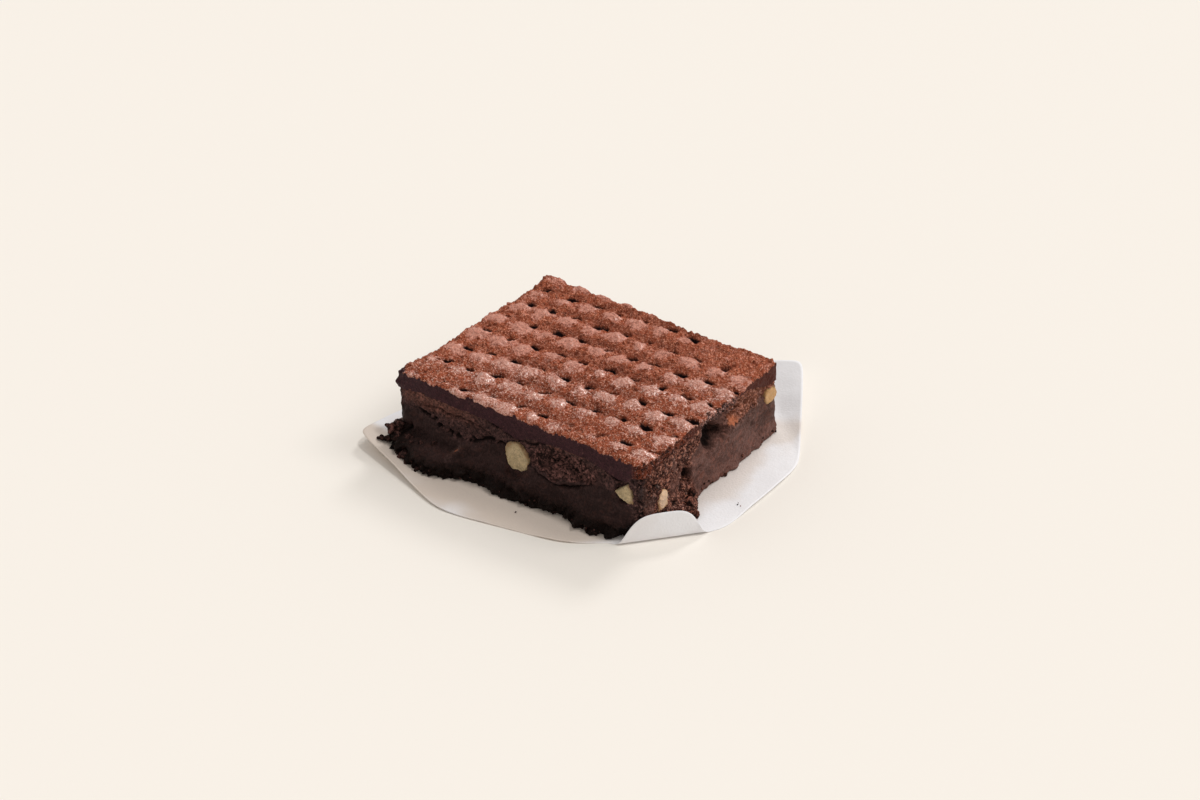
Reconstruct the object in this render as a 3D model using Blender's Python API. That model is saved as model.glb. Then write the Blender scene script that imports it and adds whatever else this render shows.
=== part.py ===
"""A square of chocolate brownie on a sheet of greaseproof paper, in millimetres scaled to metres.

The cake is three baked layers, each one solid: a dense fudge base, an airy crumb and a dark icing
whose top is pressed into rows of small domes with a pit beside each. Chopped nuts sit in pockets in
the cut sides. The paper lies flat under the cake, with two lifted corners and one curled up.

Axes: X runs along the long side, Y along the short side, Z is up. The origin is on the surface that
the paper lies on, under the middle of the cake.
"""
import math

import bmesh
import bpy
from mathutils import Vector

MM = 0.001

# The cake block
LENGTH = 84.0
WIDTH = 68.0
HEIGHT = 26.0
CLEARANCE = 0.3
CORNER_ROUND = 0.5
CORNER_REACH = 1.6
CORNER_SWELL = 3.0

# Upright corners worn back at the foot: the +X one on both its sides, and the ledge's one
WORN_CORNER = 1.9
WORN_LEDGE = 3.0

# The pressed top: columns of domes along X; rows along Y, which gain height in Y along X
DOME_COLUMNS = 10
DOME_ROWS = 8
FIRST_COLUMN = -37.4
COLUMN_PITCH = 8.47
FIRST_ROW = -32.4
ROW_PITCH = 9.83
ROW_SLANT = 0.070
DOME_HEIGHT = 1.3
DOME_REACH = 2.9
PIT_DEPTH = 1.7
PIT_REACH = 1.4
PIT_SIDESTEP = (1.1, 3.1)

# Depth of the two layer boundaries below the top
ICING_DEPTH = 6.0
THIN_ICING_DEPTH = 3.9
CRUMB_DEPTH = 14.7

# How far the ragged foot stands out past the cut sides
FRONT_FOOT = 4.3
FRONT_FOOT_HEIGHT = 15.0
LEDGE_REACH = 5.2
LEDGE_SHOULDER = 5.5
LEDGE_HEIGHT = 8.7
LUMP_REACH = 4.6
LUMP_PLACE = -17.0
SIDE_FOOT = 1.8

# The torn hollow near the top of the +X side
HOLLOW_DEPTH = 2.6
HOLLOW_PLACE = 1.5
HOLLOW_LEVEL = 19.0
HOLLOW_REACH = (5.4, 3.8)

# Grid cells along X and Y: coarse for the layer boundaries, twice as fine for the top
CELLS_X = 20
CELLS_Y = 14
WALL_ROWS = 3

# The paper: each side's facing direction in degrees and its distance from the origin
PAPER_THICKNESS = 0.3
PAPER_SIDES = (
    (-108.4, 56.6), (-78.6, 51.5), (-51.0, 52.8), (-40.1, 53.8),
    (0.0, 57.0), (31.9, 61.1), (97.0, 61.8), (180.0, 53.4))
PAPER_CORNER_POWER = 40
PAPER_SPOKES = 108
PAPER_RINGS = (0.5, 0.65, 0.71, 0.77, 0.845, 0.875, 0.94, 1.0)

# Lifted corners: a point on the bend line, the way it faces in degrees, bend radius, steepest slope
LEFT_LIFT = ((-12.0, -55.0), -138.4, 25.0, 13.0)
BACK_LIFT = ((57.5, 24.0), 50.0, 9.0, 24.0)

# The flap at the near corner, curled up: the fold's facing direction in degrees and its distance
# from the origin; the curl dies out to either side of the flap's middle
CURL_FACING = -40.1
CURL_DISTANCE = 52.8
CURL_RADIUS = 1.5
CURL_ANGLE = 92.0
CURL_FLAT_TOP = 10.5
CURL_HALF_WIDTH = 15.5
FLAP_REACH = 9.4
FLAP_PLACE = 6.4
FLAP_HALF_WIDTH = 10.2

# Nuts: name, side, place along the side, height, half-sizes (along, in, up) and a shape number
NUTS = (
    ("nut_front_mid", "front", -0.3, 11.2, (4.0, 3.6, 4.8), 1),
    ("nut_front_corner", "front", 36.0, 13.9, (3.1, 3.0, 3.4), 2),
    ("nut_side_low", "right", -23.7, 8.8, (2.3, 3.2, 3.9), 3),
    ("nut_side_far", "right", 30.8, 15.4, (3.2, 2.8, 2.6), 4),
    ("nut_back_wide", "back", 19.0, 12.4, (4.2, 3.4, 3.3), 5),
    ("nut_back_small", "back", -24.0, 9.6, (2.8, 3.0, 3.2), 6),
    ("nut_left_mid", "left", 9.0, 13.2, (3.6, 3.2, 3.4), 7),
)
NUT_PROUD = 0.3
NUT_WOBBLE = 0.09

# The open air hole low on the +X side
AIR_HOLE_PLACE = -13.2
AIR_HOLE_LEVEL = 11.6
AIR_HOLE_SIZE = (2.2, 2.6, 2.5)

COLOURS = {
    "paper": ((0.78, 0.77, 0.74), 0.62),
    "fudge": ((0.030, 0.014, 0.010), 0.58),
    "crumb": ((0.060, 0.022, 0.014), 0.82),
    "icing": ((0.110, 0.042, 0.028), 0.60),
    "nut": ((0.56, 0.47, 0.27), 0.55),
}


def bell(distance, reach):
    """A smooth hump: 1 at no distance, fading out past its reach."""
    return math.exp(-(distance / reach) ** 2)


def ramp(value, low, high):
    """Rise smoothly from 0 at low to 1 at high."""
    t = min(1.0, max(0.0, (value - low) / (high - low)))
    return t * t * (3.0 - 2.0 * t)


def wave(place, length, phase):
    """A sine of the given wavelength."""
    return math.sin(math.tau * place / length + phase)


# ---- The paper ----------------------------------------------------------------------------------

def paper_reach(angle):
    """Distance from the origin to the paper's rim: a superellipse with sides of its own, and a flap."""
    total = 0.0
    for facing, distance in PAPER_SIDES:
        nearness = math.cos(angle - math.radians(facing)) / distance
        total += max(0.0, nearness) ** PAPER_CORNER_POWER
    turned = (angle - math.radians(CURL_FACING) + math.pi) % math.tau - math.pi
    aside = CURL_DISTANCE * math.tan(min(1.0, max(-1.0, turned))) - FLAP_PLACE
    flap = FLAP_REACH * math.exp(-(aside / FLAP_HALF_WIDTH) ** 4)
    return total ** (-1.0 / PAPER_CORNER_POWER) + flap


def lift(x, y, bend):
    """Height that one lifted corner adds: an arc past the bend line, then a straight slope."""
    (line_x, line_y), facing, radius, slope = bend
    facing = math.radians(facing)
    slope = math.radians(slope)
    past = (x - line_x) * math.cos(facing) + (y - line_y) * math.sin(facing)
    arc_end = radius * math.sin(slope)
    arc_past = min(max(past, 0.0), arc_end)
    arc_rise = radius - math.sqrt(radius ** 2 - arc_past ** 2)
    return arc_rise + max(0.0, past - arc_end) * math.tan(slope)


def paper_rise(x, y):
    """Height of the paper's underside away from its curl."""
    return lift(x, y, LEFT_LIFT) + lift(x, y, BACK_LIFT)


def curl(x, y):
    """Roll what lies past the curl line up round an arc, then straight on along its end tangent."""
    facing = math.radians(CURL_FACING)
    facing_x, facing_y = math.cos(facing), math.sin(facing)
    past = x * facing_x + y * facing_y - CURL_DISTANCE
    aside = abs(y * facing_x - x * facing_y - FLAP_PLACE)
    full_turn = math.radians(CURL_ANGLE) * (1.0 - ramp(aside, CURL_FLAT_TOP, CURL_HALF_WIDTH))
    if past <= 0.0 or full_turn == 0.0:
        return Vector((x, y, paper_rise(x, y)))
    turn = min(past / CURL_RADIUS, full_turn)
    straight = past - turn * CURL_RADIUS
    along = CURL_RADIUS * math.sin(turn) + straight * math.cos(turn)
    rise = CURL_RADIUS * (1.0 - math.cos(turn)) + straight * math.sin(turn)
    shift = along - past
    return Vector((x + shift * facing_x, y + shift * facing_y, rise))


def add_paper():
    """A sheet of rings round a middle point, given its thickness upwards."""
    bm = bmesh.new()
    middle = bm.verts.new((0.0, 0.0, 0.0))
    rings = []
    for fraction in PAPER_RINGS:
        ring = []
        for spoke in range(PAPER_SPOKES):
            angle = math.tau * spoke / PAPER_SPOKES
            reach = fraction * paper_reach(angle)
            place = curl(reach * math.cos(angle), reach * math.sin(angle))
            ring.append(bm.verts.new(place * MM))
        rings.append(ring)
    for spoke in range(PAPER_SPOKES):
        following = (spoke + 1) % PAPER_SPOKES
        bm.faces.new((middle, rings[0][spoke], rings[0][following]))
        for inner, outer in zip(rings, rings[1:]):
            bm.faces.new((inner[spoke], outer[spoke], outer[following], inner[following]))
    obj = add_object("paper_sheet", bm, "paper")
    solidify = obj.modifiers.new("thickness", "SOLIDIFY")
    solidify.thickness = PAPER_THICKNESS * MM
    solidify.offset = 1.0


# ---- The cake's outline and layers --------------------------------------------------------------

def corner_cut(place, half):
    """How far a side draws in near either of its upright corners."""
    return CORNER_ROUND * (bell(place - half, CORNER_REACH) + bell(place + half, CORNER_REACH))


def worn_foot(from_corner, z):
    """How far the foot is worn back at the corner of the -Y and +X sides."""
    return WORN_CORNER * bell(from_corner, 3.5) * (1.0 - ramp(z, 1.5, 5.5))


def worn_ledge(from_corner, z):
    """How far the ledge is worn back at the corner of the -Y and -X sides."""
    return WORN_LEDGE * bell(from_corner, 2.5) * (1.0 - ramp(z, 5.0, 8.0))


def front_out(x, z):
    """How far the -Y side stands out: a ragged foot, and a ledge at its -X end."""
    foot = FRONT_FOOT * (1.0 - ramp(z, 0.0, FRONT_FOOT_HEIGHT))
    foot *= 1.0 + 0.25 * wave(x, 27.0, 1.0) - 0.85 * ramp(x, 34.5, 42.0)
    ledge = LEDGE_REACH * bell(x + 30.0, 17.0) * (1.0 - ramp(z, LEDGE_SHOULDER, LEDGE_HEIGHT))
    worn = corner_cut(x, LENGTH / 2) + worn_foot(x - LENGTH / 2, z) + worn_ledge(x + LENGTH / 2, z)
    return foot + ledge + 0.3 * wave(x, 38.0, 0.4) - worn


def left_out(y, z):
    """How far the -X side stands out: a swollen near corner with the ledge's end, then a low foot."""
    ledge = LEDGE_REACH * bell(y + 36.0, 9.0) * (1.0 - ramp(z, LEDGE_SHOULDER, LEDGE_HEIGHT))
    foot = SIDE_FOOT * (1.0 - ramp(z, 0.0, 10.0)) * (1.0 + 0.5 * wave(y, 23.0, 2.0))
    swell = CORNER_SWELL * bell(y + 36.0, 9.0) * (0.3 + 0.5 * ramp(z, 7.0, 12.0) + 0.2 * ramp(z, 15.0, 20.0))
    worn = corner_cut(y, WIDTH / 2) + worn_ledge(y + WIDTH / 2, z)
    return ledge + foot + swell + 0.3 * wave(y, 41.0, 1.3) - worn


def right_out(y, z):
    """How far the +X side stands out: upright, with a lump at its foot and a hollow torn out above."""
    lump = LUMP_REACH * bell(y - LUMP_PLACE, 6.5) * (1.0 - ramp(z, 1.0, 7.5))
    hollow = bell(y - HOLLOW_PLACE, HOLLOW_REACH[0]) * bell(z - HOLLOW_LEVEL, HOLLOW_REACH[1])
    worn = corner_cut(y, WIDTH / 2) + worn_foot(y + WIDTH / 2, z)
    return lump - HOLLOW_DEPTH * hollow + 0.3 * wave(y, 36.0, 0.0) - worn


def back_out(x, z):
    """How far the +Y side stands out: a low uneven foot."""
    foot = SIDE_FOOT * (1.0 - ramp(z, 0.0, 11.0)) * (1.0 + 0.5 * wave(x, 29.0, 0.7))
    return foot + 0.3 * wave(x, 44.0, 2.2) - corner_cut(x, LENGTH / 2)


SIDES = {
    "front": (front_out, (0.0, -1.0), WIDTH / 2),
    "right": (right_out, (1.0, 0.0), LENGTH / 2),
    "back": (back_out, (0.0, 1.0), WIDTH / 2),
    "left": (left_out, (-1.0, 0.0), LENGTH / 2),
}


def block_place(x, y, z):
    """Spread a plain block's point (x, y) at height z out to the uneven sides."""
    across = x / LENGTH + 0.5
    deep = y / WIDTH + 0.5
    spread_x = across * right_out(y, z) - (1.0 - across) * left_out(y, z)
    spread_y = deep * back_out(x, z) - (1.0 - deep) * front_out(x, z)
    return Vector((x + spread_x, y + spread_y, z))


def underside(x, y):
    """The base rests just clear of the paper and follows its lifted corner."""
    out_x, out_y, _ = block_place(x, y, 1.0)
    return paper_rise(out_x, out_y) + PAPER_THICKNESS + CLEARANCE


def crumb_floor(x, y):
    """Boundary of fudge and crumb: waves along X; by the +X side it drops low, then steps up."""
    side = bell(x - 44.0, 11.0)
    step = ramp(y, -9.0, -4.0)
    drop = 5.3 * side * (0.35 + 0.65 * ramp(y, -34.0, -28.0)) * (1.0 - step)
    rise = 4.6 * side * step
    return HEIGHT - CRUMB_DEPTH + 1.6 * wave(x, 35.0, 2.2) + 0.4 * wave(y, 47.0, 0.5) + rise - drop


def icing_floor(x, y):
    """Boundary of crumb and icing: sags thrice along the -Y side, and is high along the +X side."""
    sags = 1.5 * bell(x + 44.0, 9.0) + 1.9 * bell(x, 5.0) + 2.0 * bell(x - 34.0, 6.0)
    depth = ICING_DEPTH + 0.4 * wave(x, 60.0, 2.6) + sags * (1.0 - ramp(y, -34.0, -20.0))
    corners = 1.4 * (1.0 - ramp(y, -30.0, -16.0)) + 3.0 * ramp(y, 20.0, 33.0)
    thin_depth = THIN_ICING_DEPTH + corners - 1.6 * bell(y - 13.0, 8.0)
    return HEIGHT - depth - (thin_depth - depth) * ramp(x, 37.0, 41.0)


def pressing(x, y):
    """How fully the press marked the top: less in patches near its rim."""
    far = ramp(x, 10.0, 24.0) * ramp(y, 17.0, 24.0)
    near = ramp(-x, 20.0, 26.0) * ramp(-y, 20.0, 26.0)
    right = bell(x - 18.0, 8.0) * ramp(-y, 20.0, 26.0)
    left = ramp(-x, 26.0, 32.0) * bell(y - 25.0, 5.0)
    return 1.0 - 0.85 * far - 0.75 * near - 0.8 * right - 0.6 * left


def pressed_top(x, y):
    """The top: a dome at each crossing of the rows and columns, and a pit beside each dome."""
    marks = 0.0
    for column in range(DOME_COLUMNS):
        dome_x = FIRST_COLUMN + column * COLUMN_PITCH
        if abs(x - dome_x) > 2 * COLUMN_PITCH:
            continue
        for row in range(DOME_ROWS):
            dome_y = FIRST_ROW + row * ROW_PITCH + ROW_SLANT * dome_x
            marks += DOME_HEIGHT * bell(math.hypot(x - dome_x, y - dome_y), DOME_REACH)
            pit_x = dome_x + PIT_SIDESTEP[0]
            pit_y = dome_y + PIT_SIDESTEP[1]
            marks -= PIT_DEPTH * bell(math.hypot(x - pit_x, y - pit_y), PIT_REACH)
    return HEIGHT - 0.5 * DOME_HEIGHT + marks * pressing(x, y)


def add_patch(bm, cells_x, cells_y, level, facing_up):
    """Add a grid of triangles at height level(x, y); give back its rim, counterclockwise."""
    grid = []
    for j in range(cells_y + 1):
        y = WIDTH * (j / cells_y - 0.5)
        grid.append([])
        for i in range(cells_x + 1):
            x = LENGTH * (i / cells_x - 0.5)
            grid[j].append(bm.verts.new(block_place(x, y, level(x, y)) * MM))
    for j in range(cells_y):
        for i in range(cells_x):
            a, b = grid[j][i], grid[j][i + 1]
            d, c = grid[j + 1][i], grid[j + 1][i + 1]
            for corners in ((a, b, c), (a, c, d)):
                bm.faces.new(corners if facing_up else corners[::-1])
    front = grid[0][:-1]
    right = [row[-1] for row in grid[:-1]]
    back = grid[-1][:0:-1]
    left = [row[0] for row in grid[:0:-1]]
    return front + right + back + left


def rim_plan(cells_x, cells_y):
    """The plain block's rim points, in the order that add_patch gives them."""
    xs = [LENGTH * (i / cells_x - 0.5) for i in range(cells_x + 1)]
    ys = [WIDTH * (j / cells_y - 0.5) for j in range(cells_y + 1)]
    front = [(x, ys[0]) for x in xs[:-1]]
    right = [(xs[-1], y) for y in ys[:-1]]
    back = [(x, ys[-1]) for x in xs[:0:-1]]
    left = [(xs[0], y) for y in ys[:0:-1]]
    return front + right + back + left


def join_rims(bm, lower, upper):
    """Wall between two rims; the upper has either as many points as the lower, or twice as many."""
    step = len(upper) // len(lower)
    for k, corner in enumerate(lower):
        following = lower[(k + 1) % len(lower)]
        for part in range(step):
            a = upper[k * step + part]
            b = upper[(k * step + part + 1) % len(upper)]
            bm.faces.new((corner, b, a))
        last = upper[(k + 1) * step % len(upper)]
        bm.faces.new((corner, following, last))


def add_layer(name, colour, floor, ceiling, fineness):
    """One baked layer: a floor and a ceiling patch, joined by a wall that follows the cut sides."""
    bm = bmesh.new()
    lower = add_patch(bm, CELLS_X, CELLS_Y, floor, facing_up=False)
    upper = add_patch(bm, CELLS_X * fineness, CELLS_Y * fineness, ceiling, facing_up=True)
    plan = rim_plan(CELLS_X, CELLS_Y)
    for row in range(1, WALL_ROWS):
        share = row / WALL_ROWS
        ring = []
        for x, y in plan:
            height = floor(x, y) + (ceiling(x, y) - floor(x, y)) * share
            ring.append(bm.verts.new(block_place(x, y, height) * MM))
        join_rims(bm, lower, ring)
        lower = ring
    join_rims(bm, lower, upper)
    return add_object(name, bm, colour)


# ---- Nuts and the holes cut for them ------------------------------------------------------------

def wall_frame(side, place, height):
    """A point on a cut side, with the directions along the side and outwards."""
    out, (facing_x, facing_y), half = SIDES[side]
    reach = half + out(place, height)
    outward = Vector((facing_x, facing_y, 0.0))
    along = Vector((abs(facing_y), abs(facing_x), 0.0))
    return along * place + outward * reach + Vector((0.0, 0.0, height)), along, outward


def pebble(side, place, height, half_sizes, shape, growth, flat_side):
    """A wobbly rounded lump set into a cut side; flat_side trims it just proud of the cut."""
    wall, along, outward = wall_frame(side, place, height)
    half_along, half_in, half_up = (size + growth for size in half_sizes)
    middle = wall - outward * (0.55 * half_sizes[1])
    bm = bmesh.new()
    bmesh.ops.create_icosphere(bm, subdivisions=2, radius=1.0)
    for vert in bm.verts:
        a, b, c = vert.co
        swell = 1.0 + NUT_WOBBLE * math.sin(3.1 * a + shape) * math.cos(2.7 * c + 2.0 * shape)
        swell += NUT_WOBBLE * math.sin(4.3 * b + 1.7 * shape)
        reach_out = b * half_in * swell
        if flat_side:
            reach_out = min(reach_out, 0.55 * half_sizes[1] + NUT_PROUD)
        place_now = middle + outward * reach_out
        place_now += along * (a * half_along * swell) + Vector((0.0, 0.0, c * half_up * swell))
        vert.co = place_now * MM
    mirrored = along.cross(outward).z < 0.0
    if mirrored:
        bmesh.ops.reverse_faces(bm, faces=bm.faces)
    return bm


def add_cutter(name, bm, cutters):
    """Keep a cutting shape out of sight in the cutters' collection."""
    mesh = bpy.data.meshes.new(name)
    bm.to_mesh(mesh)
    bm.free()
    cutter = bpy.data.objects.new(name, mesh)
    cutter.display_type = "WIRE"
    cutter.hide_render = True
    cutters.objects.link(cutter)


def cut_pockets(layer, cutters):
    """Take the pockets and the air hole out of one layer."""
    boolean = layer.modifiers.new("pockets", "BOOLEAN")
    boolean.operation = "DIFFERENCE"
    boolean.operand_type = "COLLECTION"
    boolean.collection = cutters
    boolean.solver = "EXACT"


# ---- Putting it together ------------------------------------------------------------------------

def add_material(colour):
    """A plain material for one ingredient."""
    tint, roughness = COLOURS[colour]
    material = bpy.data.materials.get(colour)
    if material is None:
        material = bpy.data.materials.new(colour)
        material.use_nodes = True
        shader = material.node_tree.nodes["Principled BSDF"]
        shader.inputs["Base Color"].default_value = (*tint, 1.0)
        shader.inputs["Roughness"].default_value = roughness
    return material


def add_object(name, bm, colour):
    """Turn a finished bmesh into a named object with its ingredient's material."""
    mesh = bpy.data.meshes.new(name)
    bm.to_mesh(mesh)
    bm.free()
    mesh.materials.append(add_material(colour))
    obj = bpy.data.objects.new(name, mesh)
    bpy.context.scene.collection.objects.link(obj)
    return obj


def half_gap_above(level):
    """The same boundary, raised by half the clearance."""
    return lambda x, y: level(x, y) + CLEARANCE / 2


def half_gap_below(level):
    """The same boundary, lowered by half the clearance."""
    return lambda x, y: level(x, y) - CLEARANCE / 2


def build():
    """Clear the scene and make every piece of the brownie."""
    for obj in list(bpy.data.objects):
        bpy.data.objects.remove(obj)

    add_paper()
    base = add_layer("fudge_base", "fudge", underside, half_gap_below(crumb_floor), 1)
    crumb = add_layer("crumb_layer", "crumb", half_gap_above(crumb_floor), half_gap_below(icing_floor), 1)
    add_layer("icing_top", "icing", half_gap_above(icing_floor), pressed_top, 2)

    cutters = bpy.data.collections.new("cutters")
    cutters.hide_render = True
    bpy.context.scene.collection.children.link(cutters)
    for name, side, place, height, half_sizes, shape in NUTS:
        nut = pebble(side, place, height, half_sizes, shape, 0.0, flat_side=True)
        add_object(name, nut, "nut")
        pocket = pebble(side, place, height, half_sizes, shape, CLEARANCE + 0.1, flat_side=False)
        add_cutter(name + "_pocket", pocket, cutters)
    air_hole = pebble("right", AIR_HOLE_PLACE, AIR_HOLE_LEVEL, AIR_HOLE_SIZE, 0, 0.0, flat_side=False)
    add_cutter("air_hole", air_hole, cutters)
    cut_pockets(base, cutters)
    cut_pockets(crumb, cutters)


build()
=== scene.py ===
"""The looks of a chocolate brownie on greaseproof paper, laid out as a Blender add-on.

Each baked layer is one closed surface: a skin of numbers worked out over the whole layer at once,
from the same outline and layer boundaries as the solids, then roughened by crumb, pores and smears.
Lengths in the formulas are in millimetres; MM turns them into metres.
"""
import math
from types import SimpleNamespace

import bpy
import numpy as np
from bpy.props import FloatProperty, FloatVectorProperty, IntProperty, PointerProperty
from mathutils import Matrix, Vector


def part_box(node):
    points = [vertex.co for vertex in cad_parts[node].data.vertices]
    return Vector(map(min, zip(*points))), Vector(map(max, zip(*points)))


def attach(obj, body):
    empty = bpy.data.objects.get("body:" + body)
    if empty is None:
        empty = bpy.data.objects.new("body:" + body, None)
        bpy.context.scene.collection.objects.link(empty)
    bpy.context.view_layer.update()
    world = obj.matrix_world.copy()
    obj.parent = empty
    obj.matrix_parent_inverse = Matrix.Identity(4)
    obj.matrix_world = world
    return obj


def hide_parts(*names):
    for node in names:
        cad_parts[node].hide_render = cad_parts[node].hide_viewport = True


bl_info = {
    "name": "Chocolate brownie",
    "version": (1, 0, 0),
    "blender": (4, 5, 0),
    "location": "View3D > Sidebar > Brownie",
    "description": "Builds an iced chocolate brownie on greaseproof paper round its packed solids",
    "category": "Add Mesh",
}

MM = 0.001
BODY = "root"
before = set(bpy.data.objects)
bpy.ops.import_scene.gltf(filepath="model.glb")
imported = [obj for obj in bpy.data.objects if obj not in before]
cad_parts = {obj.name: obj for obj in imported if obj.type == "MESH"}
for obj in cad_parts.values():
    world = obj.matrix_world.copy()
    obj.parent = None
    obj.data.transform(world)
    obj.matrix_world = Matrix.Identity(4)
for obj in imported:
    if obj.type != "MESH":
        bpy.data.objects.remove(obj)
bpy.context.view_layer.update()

# ---- The cake's outline, as its solids have it ---------------------------------------------------

LENGTH, WIDTH, HEIGHT = 84.0, 68.0, 26.0
CORNER_ROUND, CORNER_REACH, CORNER_SWELL, WORN_CORNER, WORN_LEDGE = 0.5, 1.6, 3.0, 1.9, 3.0
FRONT_FOOT, FRONT_FOOT_HEIGHT = 4.3, 15.0
LEDGE_REACH, LEDGE_SHOULDER, LEDGE_HEIGHT = 5.2, 5.5, 8.7
LUMP_REACH, LUMP_PLACE = 4.6, -17.0
SIDE_FOOT = 1.8
HOLLOW_DEPTH, HOLLOW_PLACE, HOLLOW_LEVEL, HOLLOW_REACH = 2.6, 1.5, 19.0, (5.4, 3.8)
ICING_DEPTH, THIN_ICING_DEPTH, CRUMB_DEPTH = 6.0, 3.9, 14.7
AIR_HOLE_PLACE, AIR_HOLE_LEVEL, AIR_HOLE_REACH = -12.6, 10.2, (3.0, 2.9)

# The pressed lattice of domes: its rows slant, gaining height in Y along X
FIRST_COLUMN, COLUMN_PITCH = -37.4, 8.47
FIRST_ROW, ROW_PITCH, ROW_SLANT = -32.4, 9.83, 0.070
PIT_SIDESTEP = (1.1, 3.1)

# The paper: how high it lies, then facing and distance of its rim's sides
PAPER_REST = 0.05
PAPER_SIDES = (
    (-108.4, 56.6), (-78.6, 51.5), (-51.0, 52.8), (-40.1, 53.8),
    (0.0, 57.0), (31.9, 61.1), (97.0, 61.8), (180.0, 53.4))
PAPER_CORNER_POWER = 40
FLAP_REACH, FLAP_PLACE, FLAP_HALF_WIDTH = 9.4, 6.4, 10.2
LEFT_LIFT = ((-12.0, -55.0), -138.4, 25.0, 13.0)
BACK_LIFT = ((57.5, 24.0), 50.0, 9.0, 24.0)
CURL_FACING, CURL_DISTANCE, CURL_RADIUS, CURL_ANGLE = -40.1, 52.8, 1.5, 92.0
CURL_FLAT_TOP, CURL_HALF_WIDTH = 10.5, 15.5

# Mesh density: rings up the icing's wall and up each baked layer, then the paper's and nuts' grids
WALL_ROWS, LAYER_ROWS = 26, 54
PAPER_SPOKES, PAPER_RINGS = 480, 90
NUT_RINGS, NUT_SPOKES = 44, 72

# Cracks along the -Y side: X of both ends, height of both ends, bow, width and depth
CRACKS = (
    ((-12.0, 11.0), (20.4, 20.2), -2.6, 0.30, 1.0),
    ((4.0, 26.0), (12.0, 12.6), -3.6, 0.28, 1.0),
    ((8.0, 22.0), (16.2, 14.2), 0.6, 0.20, 0.7),
    ((28.0, 38.5), (20.2, 17.6), -1.4, 0.35, 1.0),
    ((-34.0, -9.0), (16.4, 15.2), 0.9, 0.22, 0.9))

# Chunks that stand out alone, as X, Y, height and radius: the ledge's end, and the +X side's foot
LEDGE_CHUNKS = (
    (-43.2, -38.4, 7.2, 1.6), (-44.2, -39.3, 8.2, 0.9), (-42.0, -36.9, 8.2, 1.6),
    (-44.4, -39.4, 4.0, 1.8), (-45.9, -40.2, 4.0, 1.2), (-47.0, -40.7, 3.8, 0.7))
FOOT_CHUNKS = (
    (46.0, -17.6, 1.9, 1.7), (47.0, -15.6, 1.6, 1.3), (44.8, -14.0, 4.2, 1.3), (43.8, -12.0, 5.4, 1.1))
# Rubble on the ledge: how many chunks, how far they reach, and how far along the corner comes
RUBBLE_COUNT, RUBBLE_LENGTH, RUBBLE_CORNER = 70, 26.0, 0.72
# Fallen crumbs: how many are strewn round the cake, where three more lie, and where none may lie
FALLEN_COUNT, FALLEN_SPOT = 9, (53.6, -3.8)
CURL_MIDDLE, CURL_CLEARANCE = (46.0, -32.0), 14.0
CRUMB_SPACING = 1.0

# Which way the visible nuts' straight edges face, in degrees from level, turning up
NUT_EDGES = {
    "nut_front_mid": (0.0, 60.0, 110.0, 180.0, 222.0, 318.0),
    "nut_front_corner": (9.0, 127.0, 248.0),
    "nut_side_low": (5.0, 62.0, 112.0, 178.0, 268.0),
    "nut_side_far": (20.0, 80.0, 150.0, 205.0, 275.0, 325.0),
}
NUT_BLUNTNESS, NUT_POCKET = 7.0, 1.5

# Heights of the finest grain, which only the materials show, in metres
GRAIN_BUMP, NUT_BUMP, FIBRE_BUMP = 0.00022, 0.00018, 0.00004

# The stage, in metres and degrees: azimuths are counted from +X towards +Y. Each sun has its
# azimuth, elevation, angle across, strength and colour.
FLOOR_REACH = 3.0
CAMERA_AZIMUTH, CAMERA_ELEVATION, CAMERA_DISTANCE = -53.6, 32.0, 0.7514
CAMERA_AIM = (-0.01109, 0.01903, 0.0)
CAMERA_LENS, CAMERA_SENSOR, CAMERA_CLIP = 75.0, 36.0, 0.01
AMBIENT_COLOUR, AMBIENT_STRENGTH = (1.0, 0.97, 0.93), 0.55
WALL_COLOUR = (0.939, 0.880, 0.799)
SUNS = {
    "key": (40.0, 44.0, 22.0, 0.75, (1.0, 0.975, 0.94)),
    "side": (95.0, 38.0, 14.0, 0.75, (1.0, 0.985, 0.97)),
    "top": (34.0, 68.0, 5.0, 0.68, (1.0, 0.985, 0.96)),
}


def length_property(name, description, metres):
    """A length that a maker would change."""
    return FloatProperty(name=name, description=description, default=metres, unit="LENGTH")


def colour_property(name, description, value):
    """A colour that a maker would change, as linear red, green and blue."""
    return FloatVectorProperty(name=name, description=description, default=value, subtype="COLOR", size=3)


class CakeSizes(bpy.types.PropertyGroup):
    """Sizes that a maker would change."""

    dome_height: length_property("Dome height", "How far the pressed domes stand up", 0.0012)
    dome_reach: length_property("Dome reach", "How wide the pressed domes are, from middle to foot", 0.0026)
    pit_depth: length_property("Pit depth", "Depth of the slit beside each dome", 0.0030)
    grain_height: length_property("Cocoa grain", "Height of the cocoa's clumps between the domes", 0.0005)
    pore_depth: length_property("Pore depth", "Depth of the air pores in the crumb", 0.0009)
    top_cell: length_property("Top cell", "Mesh spacing on the icing's top", 0.0003)
    side_cell: length_property("Side cell", "Mesh spacing along the cut sides", 0.00022)
    paper_thickness: length_property("Paper thickness", "Thickness of the paper as seen", 0.00012)
    crumb_count: IntProperty(
        name="Loose crumbs", description="Number of small crumbs round the foot", default=150)


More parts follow.
